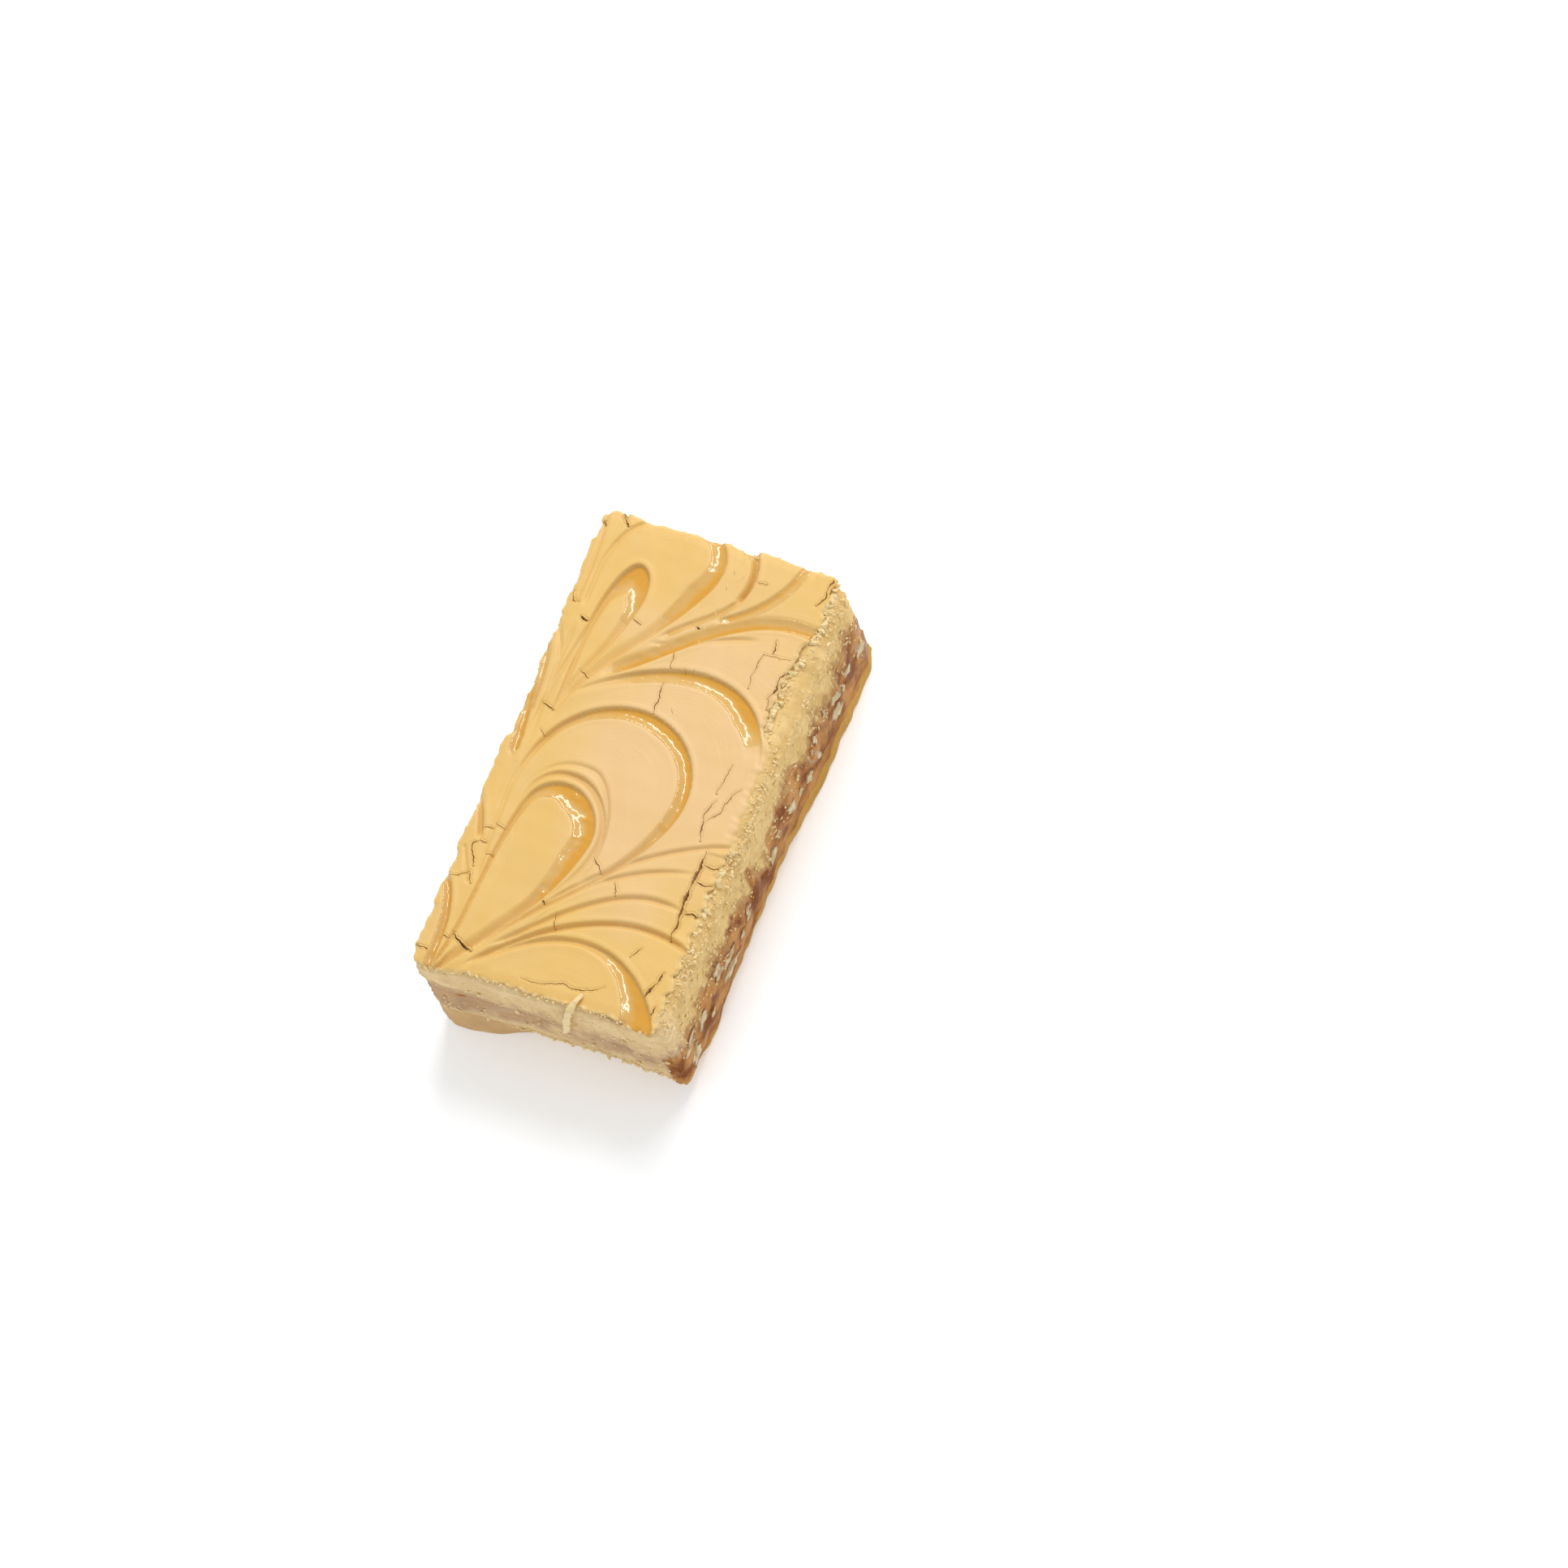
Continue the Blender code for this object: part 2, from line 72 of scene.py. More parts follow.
# Petals of the swirl. Each runs from its root along one side, round its tip and back. Left and
# right are its half widths, belly is where it is widest, bend is its sideways curve, and tail is
# how thin it is towards the root. Slope and depth are the groove's inner bank and depth on the
# left, at the tip and on the right. Keep is the share of the depth left at the root on either
# side. Sunk is how far the petal lies below the crust outside it. Fill is how full of caramel
# the groove is on the left, at the tip and on the right. Where depth or fill passes below 0 on the
# way from the tip, the groove or its caramel ends there.
PETALS = (
    dict(root=(-24.9, -56.0), tip=(-9.2, -7.1), left=8.5, right=8.2, belly=0.84, bend=2.4, tail=1.7,
         slope=(0.9, 5.0, 4.4), depth=(0.8, 1.1, 1.1), keep=(1.0, 1.0), sunk=0.3,
         fill=(0.1, 0.8, 0.8)),
    dict(root=(-17.0, -48.0), tip=(-9.5, -4.3), left=10.8, right=8.1, belly=0.78, bend=4.0, tail=2.89,
         slope=(0.8, 1.3, 1.2), depth=(0.1, 0.9, 0.7), keep=(0.0, 0.3), sunk=0.1,
         fill=(0.0, 0.0, 0.0)),
    dict(root=(-17.0, -48.0), tip=(-7.4, -2.0), left=14.5, right=6.7, belly=0.68, bend=4.6, tail=1.06,
         slope=(0.8, 1.4, 1.2), depth=(0.0, 0.4, 0.5), keep=(0.0, 0.3), sunk=0.0,
         fill=(0.0, 0.0, 0.0)),
    dict(root=(-17.0, -48.0), tip=(1.3, 11.8), left=15.6, right=17.6, belly=0.73, bend=-2.2, tail=1.48,
         slope=(1.5, 3.5, 2.7), depth=(0.9, 1.3, 1.2), keep=(0.0, 0.7), sunk=0.25,
         fill=(0.2, 0.9, 0.4)),
    dict(root=(-27.2, -27.0), tip=(18.9, 18.4), left=23.4, right=23.7, belly=0.49, bend=1.6, tail=2.89,
         slope=(2.6, 4.6, 1.5), depth=(1.1, 1.3, -1.4), keep=(0.0, 0.0), sunk=0.2,
         fill=(0.5, 0.8, -1.2)),
    dict(root=(-20.5, 5.0), tip=(-15.4, 42.0), left=2.6, right=4.6, belly=0.78, bend=-0.8, tail=2.12,
         slope=(2.0, 12.0, 2.8), depth=(1.0, 1.5, 0.9), keep=(0.6, 0.6), sunk=0.0,
         fill=(0.2, 1.0, 0.3)),
    dict(root=(-20.5, 5.0), tip=(-4.6, 53.4), left=12.0, right=10.2, belly=0.79, bend=-2.9, tail=1.82,
         slope=(0.9, 2.6, 4.4), depth=(0.5, 0.8, 1.1), keep=(0.0, 0.7), sunk=0.15,
         fill=(0.0, 0.3, 0.7)),
    dict(root=(-17.0, -49.0), tip=(24.6, -51.6), left=4.9, right=18.8, belly=0.64, bend=-8.5, tail=0.83,
         slope=(3.0, 9.5, 3.4), depth=(1.1, 1.5, 1.0), keep=(0.8, 0.0), sunk=0.2,
         fill=(0.7, 1.0, 0.5)),
)

# Single strokes of the swirl: the points that each runs through as a smooth curve, the width of its
# easy side, its depth and how full of caramel it is. The steep side is on the left of the direction
# of travel.
STROKES = (
    (((26, 37), (12, 36), (0, 28.3), (-15, 17)), 2.9, 1.0, 0.6),
    (((-8, 27), (1, 29.5), (8, 32.3), (15, 34)), 1.2, 0.4, 0.2),
    (((-6, 28), (0, 34), (5.5, 39), (7.6, 42.5)), 1.4, 0.5, 0.3),
    (((4.2, 54), (7.2, 49.5), (8, 45.5), (6.4, 39.5)), 1.4, 1.6, 0.0),
    (((3, 35), (8, 38), (14.5, 45), (16.8, 54)), 2.2, 0.7, 0.6),
    (((-8, -34), (4, -21), (14, -14), (26, -9.3)), 1.3, 0.55, 0.0),
    (((-10, -36), (3, -24), (12, -19), (22, -17)), 1.2, 0.55, 0.0),
    (((-14, -44), (0, -31), (10, -25.4), (23.5, -26)), 1.3, 0.75, 0.0),
    (((-18, -50), (-4, -37.3), (12, -31), (26, -32.9)), 1.3, 1.0, 0.0),
    (((-28.4, 18.5), (-26.4, 12), (-25.1, 5), (-24.4, -2)), 2.2, 1.1, 0.5),
    (((-28.6, 24.5), (-26.2, 19), (-25.2, 13), (-24.8, 7)), 1.2, 0.5, 0.5),
    (((-28.6, 29), (-26.2, 25), (-24.2, 21), (-23.3, 17)), 1.0, 0.35, 0.0),
    (((-23.1, 27), (-23.3, 21), (-23.2, 14), (-22.8, 9)), 0.8, 0.3, 0.0),
    (((-22.8, 2), (-22.3, 16), (-21, 24), (-20.4, 30)), 1.0, 0.4, 0.0),
    (((-26.4, 52), (-25.3, 45), (-24.9, 38), (-25, 31.5)), 1.0, 0.4, 0.0),
    (((-23.2, 30), (-23.3, 37), (-22.6, 43), (-20.6, 47.5)), 0.8, 0.35, 0.0),
    (((-29.2, -10.5), (-26.9, -15), (-25.1, -19), (-23.8, -23)), 1.0, 1.1, 0.0),
    (((-26.2, -25), (-24.2, -29), (-22.2, -32.5)), 0.8, 0.4, 0.0),
    (((-22.6, -4), (-22.3, -14), (-22, -22), (-21.2, -32)), 0.8, 0.3, 0.0),
    (((-29.4, -29.5), (-25.4, -35), (-23.8, -41), (-23.5, -53)), 1.8, 1.2, 0.5),
)
# Width of the steep side of a stroke or petal
WALL_WIDTH = 0.5

# Cracks in the crust: the points that each runs through, half its width and its depth
CRACKS = (
    (((-1.3, 19.3), (-0.8, 16), (-1, 14.5), (-0.6, 12.7)), 0.09, 0.5),
    (((18.9, 7), (18.8, 5), (18.2, 0.5)), 0.05, 0.3),
    (((18.8, -1), (17.5, -4.3), (18.2, -7), (18.9, -10)), 0.1, 0.6),
    (((18.3, -6), (20.7, -3), (20.8, -1), (21.5, 1), (22.7, 2.6)), 0.07, 0.5),
    (((-4.5, -47.8), (-1, -48), (4, -46.5), (6.5, -47), (10, -46.3), (12.3, -44.7)), 0.07, 0.4),
    (((-21.4, -42.6), (-20, -43.9), (-18.4, -44.7), (-16.3, -45.6)), 0.28, 1.1),
    (((-23.3, -44.0), (-21.8, -44.3)), 0.14, 0.6),
    (((-28.4, -47.0), (-27.2, -47.4), (-24.2, -48)), 0.2, 0.8),
    (((-26.8, -31.6), (-25, -31), (-23.3, -29.8), (-22, -32)), 0.08, 0.4),
    (((-23.2, 8.6), (-22, 8.3), (-20.6, 7.6)), 0.12, 0.5),
    (((-21.2, 3.1), (-19.9, 2.0)), 0.07, 0.3),
    (((-18.4, 17.4), (-16.3, 16.3)), 0.11, 0.4),
    (((-22.7, 28.3), (-21.0, 27.9)), 0.24, 0.9),
    (((-24.4, 31.4), (-25.6, 31.2), (-26.6, 33.2), (-27.9, 36.2)), 0.14, 0.6),
    (((0.8, 33), (2.2, 31.8)), 0.2, 0.8),
    (((17.3, 34.7), (17.8, 33), (17.9, 31.8)), 0.13, 0.7),
    (((21.7, 31.5), (15.9, 31.2), (15.5, 26), (15.8, 23.5)), 0.05, 0.25),
    (((10.2, 39.8), (11.1, 38.3)), 0.1, 0.5),
    (((5.7, -23), (7.2, -26)), 0.07, 0.4),
    (((-3, -33.3), (-2, -36)), 0.08, 0.5),
    (((-6.8, -31), (-6, -31.5)), 0.16, 0.5),
    (((-0.2, -19.5), (1, -20.8), (2.4, -22.3)), 0.07, 0.4),
    (((-13, 31.2), (-10.5, 30.3)), 0.06, 0.3),
    (((-21.9, -18.5), (-19.9, -19.0)), 0.07, 0.4),
    (((-24.3, -20.2), (-22.3, -19.8)), 0.06, 0.3),
    (((-23.8, -22.9), (-22.4, -23.1)), 0.08, 0.4),
    (((-23.8, -23.0), (-25.0, -23.9), (-24.4, -25.6), (-22.8, -28.4)), 0.1, 0.5),
    (((-21.4, -25.2), (-20, -25.1)), 0.06, 0.3),
    (((22.8, -38.5), (22.3, -41), (21.3, -43), (20.8, -45.5)), 0.22, 1.0),
    (((24.0, -45.6), (23.6, -48.4)), 0.12, 0.6),
    (((16.5, -35), (14.8, -37.5)), 0.06, 0.3),
    (((-1.5, 26.5), (-1, 23)), 0.05, 0.3),
    (((-23.0, 52.0), (-22.0, 50.6), (-20.9, 49.5)), 0.42, 1.2),
    (((9, 45.6), (11, 45.5)), 0.12, 0.6),
    (((-26.9, 50.8), (-26.3, 49.4), (-25.7, 48.4)), 0.16, 0.7),
    (((21.1, -11.5), (21.0, -16), (20.8, -22), (21.3, -27), (21.1, -31.6)), 0.28, 1.2),
    (((21.6, -18.3), (23.5, -18.6), (25.0, -18)), 0.11, 0.6),
    (((21.6, -14.4), (23.5, -14.7), (25.0, -14.2)), 0.1, 0.6),
    (((21.6, -25.4), (23.3, -25.0), (25.0, -25.8)), 0.11, 0.6),
    (((22.3, 29.6), (21.0, 27.6), (21.3, 25), (20.4, 22.8), (21.2, 20.4)), 0.12, 0.6),
    (((24.0, 51.0), (23.1, 48.8), (23.5, 46.2), (22.2, 44)), 0.14, 0.7),
)

# The crust is broken off along the right side: where it ends and how far the drop there is
BREAK_Y = (-52, -33, -31, -12, -10, 12, 16, 31, 36, 42, 52)
BREAK_X = (25.4, 25.2, 24.8, 24.9, 25.6, 25.2, 21.7, 22.0, 23.4, 24.6, 24.3)
BREAK_DROP = (0.7, 0.7, 1.2, 1.2, 0.4, 0.4, 1.4, 1.4, 1.2, 1.0, 1.2)

# Upright corners: which one, by the signs of its x and y, and its radius
CORNERS = ((1, 1, 6.0), (1, -1, 2.0), (-1, 1, 2.0), (-1, -1, 3.0))

# Top edge of the caramel along the right side
CARAMEL_EDGE_Y = (-50, -42, -35, -30, -25, -17, -12, -10, -5, 2, 8, 15, 18, 25, 30, 37, 42, 50)
CARAMEL_EDGE_Z = (19, 15, 18, 20, 16, 21, 16, 21, 13, 20, 22, 20, 16, 20, 15, 20, 21, 18)

# Up to where the base is bare of smeared caramel along the right side
BARE_BASE_Y = (-50, -27, -17, -8, 6, 50)
BARE_BASE_Z = (1.6, 1.8, 2.8, 4.4, 4.6, 4.0)

# Pecan pieces that show on the right side: place along y, height, and their size along y and z
PECANS_RIGHT = (
    (-45.5, 13.5, 5.0, 4.0), (-45.0, 8.0, 5.5, 4.0), (-39.5, 12.0, 4.0, 4.0),
    (-30.0, 15.0, 4.5, 4.5), (-25.5, 12.5, 5.0, 4.0), (-26.0, 8.8, 8.0, 3.6),
    (-15.0, 12.5, 3.6, 3.6), (-2.0, 11.5, 4.0, 3.4), (8.5, 13.0, 3.4, 4.0),
    (20.5, 12.5, 3.2, 6.5), (32.0, 9.5, 5.0, 3.6), (33.0, 14.0, 4.0, 3.0),
    (39.0, 14.0, 3.0, 3.4), (45.0, 12.0, 4.0, 5.5), (17.0, 9.5, 2.6, 3.6),
    (22.5, 15.5, 2.4, 3.4), (36.0, 12.0, 1.8, 1.8), (-19.0, 10.5, 2.4, 2.0),
    (-36.0, 9.0, 2.0, 2.2), (2.0, 14.0, 2.2, 2.0), (13.0, 11.0, 2.0, 2.4), (28.0, 17.0, 1.8, 2.2),
)

# Clear caramel on a cut: its dark and its light tone
CLEAR_CARAMEL = ("#82481C", "#C48C4E")

# The random values sit on a grid turned by SKEW, so that no row of it lines up with a side
HASH = np.array([127.1, 311.7, 74.7])
SKEW = np.array([[0.36, 0.48, -0.8], [-0.8, 0.6, 0.0], [0.48, 0.64, 0.6]])

# Camera as the photograph was taken: its place, its line of sight and its up direction
CAMERA_PLACE = (0.8544, -0.8077, 2.3336)
CAMERA_SIGHT = (-0.31967, 0.31588, -0.89333)
CAMERA_UP = (-0.26697, 0.87457, 0.40478)
CAMERA_LENS = 300.0

# Light: the long soft box's two ends in metres, its width, aim and power, and the white room's glow
KEY_ENDS = ((-0.5, 1.25, 1.0), (0.35, 0.6, 1.6))
KEY_WIDTH = 0.26
KEY_AIM = (0, 0, 0.02)
KEY_POWER = 15.0
ROOM_LIGHT = 0.66
TABLE_REACH = 4.0


def noise(x, y, z, size, seed):
    """Smooth random values from -1 to 1 that change over about size mm."""
    cell = np.stack(np.broadcast_arrays(x, y, z), axis=-1) @ SKEW / size + seed * 7.31
    low = np.floor(cell)
    part = cell - low
    part = part * part * (3.0 - 2.0 * part)
    total = 0.0
    for corner in itertools.product((0, 1), repeat=3):
        corner = np.array(corner)
        share = np.prod(np.where(corner, part, 1.0 - part), axis=-1)
        total = total + share * np.modf(np.sin((low + corner) @ HASH) * 43758.5453)[0]
    return total


def ease(value):
    """Goes smoothly from 0 at 0 to 1 at 1, and stays there on either side."""
    value = np.clip(value, 0.0, 1.0)
    return value * value * (3.0 - 2.0 * value)


def bump(value, start, end, soft):
    """1 between start and end, fading to 0 over soft on either side."""
    return ease((value - start) / soft + 1.0) * ease((end - value) / soft + 1.0)


def between(value, places, heights):
    """Eased steps from one given height to the next at the given places."""
    number = np.clip(np.searchsorted(places, value) - 1, 0, len(places) - 2)
    places = np.array(places, float)
    heights = np.array(heights, float)
    share = ease((value - places[number]) / (places[number + 1] - places[number]))
    return heights[number] + share * (heights[number + 1] - heights[number])


def petal_line(petal):
    """Points along a petal's outline, with its groove's slope, depth and fill at each."""
    turn = np.linspace(-1.0, 1.0, PETAL_POINTS)
    along = 1.0 - turn ** 2
    belly = petal["belly"]
    tail = np.sin(np.pi / 2 * np.clip(along / belly, 0.0, 1.0)) ** petal["tail"]
    cap = np.sqrt(np.clip(1.0 - ((along - belly) / (1.0 - belly)) ** 2, 0.0, 1.0))
    half = np.where(turn < 0, -petal["left"], petal["right"])
    aside = half * np.where(along < belly, tail, cap) + petal["bend"] * 4 * along * (1 - along)
    root = np.array(petal["root"])
    reach = np.array(petal["tip"]) - root
    length = np.hypot(*reach)
    axis = reach / length
    across = np.array([axis[1], -axis[0]])
    points = root + np.outer(along * length, axis) + np.outer(aside, across)
    spots = (-0.7, -0.5, 0.0, 0.5, 0.7)
    left, tip, right = petal["slope"]
    slope = np.interp(turn, spots, (0.5 * left, left, tip, right, 0.5 * right))
    left, tip, right = petal["depth"]
    keep_left, keep_right = petal["keep"]
    depth = np.interp(turn, spots, (left * keep_left, left, tip, right, right * keep_right))
    fill = np.interp(turn, (-0.7, -0.4, 0.0, 0.5, 0.75), (0.0, *petal["fill"], 0.0))
    return points, slope, depth * ease(along * 6.0), fill


def stroke_line(through, slope, depth, fill):
    """Points along a stroke, on the one polynomial through its given points, with slope, depth and
    fill at each. An end tapers off, unless it runs out over the left or right side."""
    through = np.array(through, float)
    steps = np.hypot(*np.diff(through, axis=0).T)
    knots = np.concatenate([[0.0], np.cumsum(steps)]) / steps.sum()
    place = np.linspace(0.0, 1.0, STROKE_POINTS)
    degree = len(through) - 1
    points = np.stack([np.polyval(np.polyfit(knots, side, degree), place) for side in through.T], 1)
    taper = ease(place * 6.0) * ease((1.0 - place) * 6.0)
    for end, half in ((through[0], place < 0.5), (through[-1], place > 0.5)):
        if abs(end[0]) >= WIDTH / 2 - 3:
            taper[half] = 1.0
    return points, np.full(len(place), slope), depth * taper, fill * taper


def crack_line(points, width, depth):
    """A jagged line of close points through a crack's given points, thinning out at its ends and
    stopping short of the crust's edges."""
    points = np.array(points, float)
    steps = np.hypot(*np.diff(points, axis=0).T)
    reach = np.concatenate([[0.0], np.cumsum(steps)])
    place = np.linspace(0.0, reach[-1], int(reach[-1] / CRACK_STEP) + 6)
    x = np.interp(place, reach, points[:, 0])
    y = np.interp(place, reach, points[:, 1])
    x = x + 0.2 * noise(x, y, 3.0, 1.3, 41) + 0.14 * noise(x, y, 3.0, 0.4, 42)
    y = y + 0.2 * noise(x, y, 3.0, 1.3, 43) + 0.14 * noise(x, y, 3.0, 0.4, 44)
    share = place / reach[-1]
    taper = ease(share * 5.0) * ease((1.0 - share) * 5.0)
    uneven = np.maximum(0.72 + 0.85 * noise(x, y, 3.0, 1.5, 45), 0.2)
    widths = width * (0.15 + 0.85 * taper) * uneven
    left, right, near, far = crust_edges(x, y)
    kept = np.minimum(np.minimum(x - left, right - x + 0.35), np.minimum(y - near, far - y)) > 0.6
    return np.stack([x, y], 1)[kept], widths[kept], depth * (0.2 + 0.8 * taper[kept])


def from_line(x, y, points):
    """For each place: the number of the nearest point of a line, the distance to the line there,
    and how far to the left of its direction of travel the place lies."""
    tangent = np.gradient(points, axis=0)
    spacing = np.hypot(*tangent.T)
    tangent /= spacing[:, None]
    gap_x = x[:, None] - points[:, 0]
    gap_y = y[:, None] - points[:, 1]
    nearest = np.argmin(gap_x ** 2 + gap_y ** 2, axis=1)
    pick = np.arange(len(x))
    gap_x = gap_x[pick, nearest]
    gap_y = gap_y[pick, nearest]
    outside = tangent[nearest, 0] * gap_y - tangent[nearest, 1] * gap_x
    forward = tangent[nearest, 0] * gap_x + tangent[nearest, 1] * gap_y
    beyond = np.maximum(np.abs(forward) - 0.6 * spacing[nearest], 0.0)
    return nearest, np.hypot(outside, beyond), outside


def within(x, y, points):
    """Which places lie inside a closed line: a ray from them crosses it an odd number of times."""
    inside = np.zeros(len(x), bool)
    for (x1, y1), (x2, y2) in zip(points, np.roll(points, -1, axis=0)):
        if y1 == y2:
            continue
        crossed = (y1 > y) != (y2 > y)
        inside ^= crossed & (x < x1 + (y - y1) * (x2 - x1) / (y2 - y1))
    return inside


def swirl(x, y):
    """The swirl's relief at each place: the crust's drop, the caramel's drop in the grooves, how
    surely caramel lies there and the distance from the nearest long line. A low ridge that the
    knife pushed up runs along each steep wall, and the wider a groove is the flatter its bottom."""
    drop = np.zeros(len(x))
    pool = np.zeros(len(x))
    wet = np.zeros(len(x))
    sunk = np.zeros(len(x))
    ridge = np.zeros(len(x))
    line_distance = np.full(len(x), 60.0)
    lines = [(*petal_line(petal), petal["sunk"]) for petal in PETALS]
    lines += [(*stroke_line(*stroke), 0.0) for stroke in STROKES]
    for points, slope, depth, fill, lower in lines:
        nearest, distance, outside = from_line(x, y, points)
        wall = 1.0 - np.clip(distance / WALL_WIDTH, 0.0, 1.0)
        broad = 1.0 / (1.0 + 0.25 * np.maximum(slope[nearest] - 2.0, 0.0))
        bank = np.where(outside > 0, wall, (1.0 - ease(distance / slope[nearest])) ** broad)
        level = 1.0 - 0.42 * fill[nearest]
        flat = level - 0.5 * np.log1p(np.exp((level - bank) * 12.0)) / 6.0
        drop = np.maximum(drop, depth[nearest] * bank)
        pool = np.maximum(pool, depth[nearest] * np.maximum(np.minimum(bank, flat), 0.0))
        wet = np.maximum(wet, ease(bank * 5.0) * ease(fill[nearest] * 2.2))
        lift = 0.09 * depth[nearest] * np.exp(-((outside - 1.0) / 0.55) ** 2)
        ridge = np.maximum(ridge, np.where(distance < 3.0, lift, 0.0))
        deep = depth[nearest] > 0.25
        line_distance = np.where(deep & (distance < line_distance), distance, line_distance)
        if lower:
            inside = within(x, y, points)
            sunk = np.maximum(sunk, np.where(inside, lower * ease(distance / 3.0), 0.0))
    ridge = ridge * (1.0 - ease(drop / 0.3))
    return drop + sunk - ridge, pool + sunk - ridge, wet, line_distance


def crack_cut(x, y):
    """How far the crust is cut down at each place to make room for the cracks' own walls."""
    cut = np.zeros(len(x))
    for points, width, depth in CRACKS:
        line, widths, depths = crack_line(points, width, depth)
        near = np.flatnonzero((np.abs(x - line[:, 0].mean()) < np.ptp(line[:, 0]) / 2 + 2.5)
                              & (np.abs(y - line[:, 1].mean()) < np.ptp(line[:, 1]) / 2 + 2.5))
        nearest, distance, _ = from_line(x[near], y[near], line)
        here = 1.0 - ease((distance - widths[nearest] - 0.04) / 0.28)
        cut[near] = np.maximum(cut[near], here * (depths[nearest] + 0.15))
    return cut


def outline(across, along):
    """Where a point of the flat unit pattern lies: its sides wander and bulge a little."""
    y = along * LENGTH / 2
    x = across * WIDTH / 2
    left = -WIDTH / 2 - 0.7 * bump(y, -46.0, -4.0, 9.0) + 0.25 * noise(0.0, y, 5.0, 2.4, 5)
    right = WIDTH / 2 + 0.3 + 0.25 * noise(0.0, y, 5.0, 2.6, 6)
    near = -LENGTH / 2 + 0.3 + 0.35 * noise(x, 0.0, 5.0, 3.0, 7) + 0.5 * bump(x, -15.0, 12.0, 8.0)
    far = LENGTH / 2 + 0.1 + 0.4 * noise(x, 0.0, 5.0, 3.2, 8)
    share_x = (across + 1.0) / 2
    share_y = (along + 1.0) / 2
    return left + (right - left) * share_x, near + (far - near) * share_y


def rounded(x, y):
    """Rounds the upright corners: squares round a corner's centre become circles of that size."""
    for side_x, side_y, radius in CORNERS:
        over_x = side_x * x - WIDTH / 2 + radius
        over_y = side_y * y - LENGTH / 2 + radius
        corner = (over_x > 0) & (over_y > 0)
        reach = np.where(corner, np.hypot(over_x, over_y), 1.0)
        pull = np.where(corner, np.maximum(over_x, over_y) / reach - 1.0, 0.0)
        x = x + side_x * over_x * pull
        y = y + side_y * over_y * pull
    return x, y


def crust_edges(x, y):
    """Where the crust ends beside each place: its ragged left, right, near and far edges. The near
    one lies back behind a torn lip, and a groove runs out over the far one."""
    along = y / (LENGTH / 2)
    across = x / (WIDTH / 2)
    left, _ = outline(-1.0, along)
    left = left - 0.15 + 0.4 * ease(noise(0.0, y, 6.0, 4.5, 50) * 5.0) + 0.2 * noise(0.0, y, 6.0, 1.1, 51)
    right = np.interp(y, BREAK_Y, BREAK_X) + 0.5 * noise(0.0, y, 6.0, 1.9, 52)
    right = right + 0.35 * noise(0.0, y, 6.0, 0.8, 53)
    _, near = outline(across, -1.0)
    near = near + 0.1 + 0.6 * bump(x, -14.0, 18.0, 4.0) + 0.3 * noise(x, 0.0, 6.0, 1.3, 54)
    near = near + 0.2 * noise(x, 0.0, 6.0, 0.6, 55)
    _, far = outline(across, 1.0)
    far = far + 0.1 + 0.4 * noise(x, 0.0, 6.0, 1.8, 56) + 0.25 * noise(x, 0.0, 6.0, 0.7, 57)
    far = far - 1.1 * bump(x, 5.4, 6.8, 0.6) + 0.6 * bump(x, 8.5, 12.5, 1.0)
    far = far + 0.5 * bump(x, -25.0, -19.0, 1.0)
    return left, right, near, far


def crust_outline(across, along):
    """Where a point of the flat unit pattern lies on the crust, between its ragged edges."""
    left, right, near, far = crust_edges(across * WIDTH / 2, along * LENGTH / 2)
    x = left + (right - left) * (across + 1.0) / 2
    y = near + (far - near) * (along + 1.0) / 2
    return rounded(x, y)


def crust_height(x, y):
    """The crust's top and the caramel's top over it, without the cracks: the swirl, blocks that
    sank along the broken right edge, and edges that round off. Also how surely caramel lies
    there, the distance from the nearest line, and how much the edge has rounded off."""
    drop, pool, wet, stroke = swirl(x, y)
    left, right, near, far = crust_edges(x, y)
    inward = np.minimum(np.minimum(x - left, right - x), np.minimum(y - near, far - y))
    inward = np.maximum(inward, 0.0)
    blocks = ease((x - 21.2) / 0.6) * bump(y, -31.6, -12.0, 0.4)
    sinking = 0.45 + 0.3 * noise(x, y, 0.0, 4.5, 61)
    worn_edge = bump(y, -9.0, 11.0, 2.0) * ease((x - right + 2.5) / 3.0)
    rough = 0.12 * noise(x, y, 0.0, 7.0, 1) + 0.04 * noise(x, y, 0.0, 2.2, 2)
    rim = 0.4 * (1.0 - ease(inward / 0.7)) + 0.25 * (1.0 - ease(inward / 2.5)) * (x < 20)
    rim = rim - 0.45 * (1.0 - ease((y - near) / 0.7)) * (0.5 + noise(x, 0.0, 6.0, 0.9, 63))
    low = HEIGHT - 0.15 + rough - blocks * sinking - 0.5 * worn_edge - rim
    return low - drop, low - pool, wet, stroke, drop, 1.0 - ease(inward / 0.8)


def outward(x, y):
    """Direction out of the nearest side, turning over the last few millimetres to a corner."""
    out_x = np.sign(x) * ease((np.abs(x) - WIDTH / 2 + 3.4) / 2.6)
    out_y = np.sign(y) * ease((np.abs(y) - LENGTH / 2 + 3.4) / 2.6)
    return out_x, out_y


def side_share(x, y):
    """How much a point belongs to the right side and to the near side."""
    right = ease((x - WIDTH / 2 + 3.4) / 2.6)
    near = ease((-y - LENGTH / 2 + 3.4) / 2.6) * (1.0 - right)
    return right, near


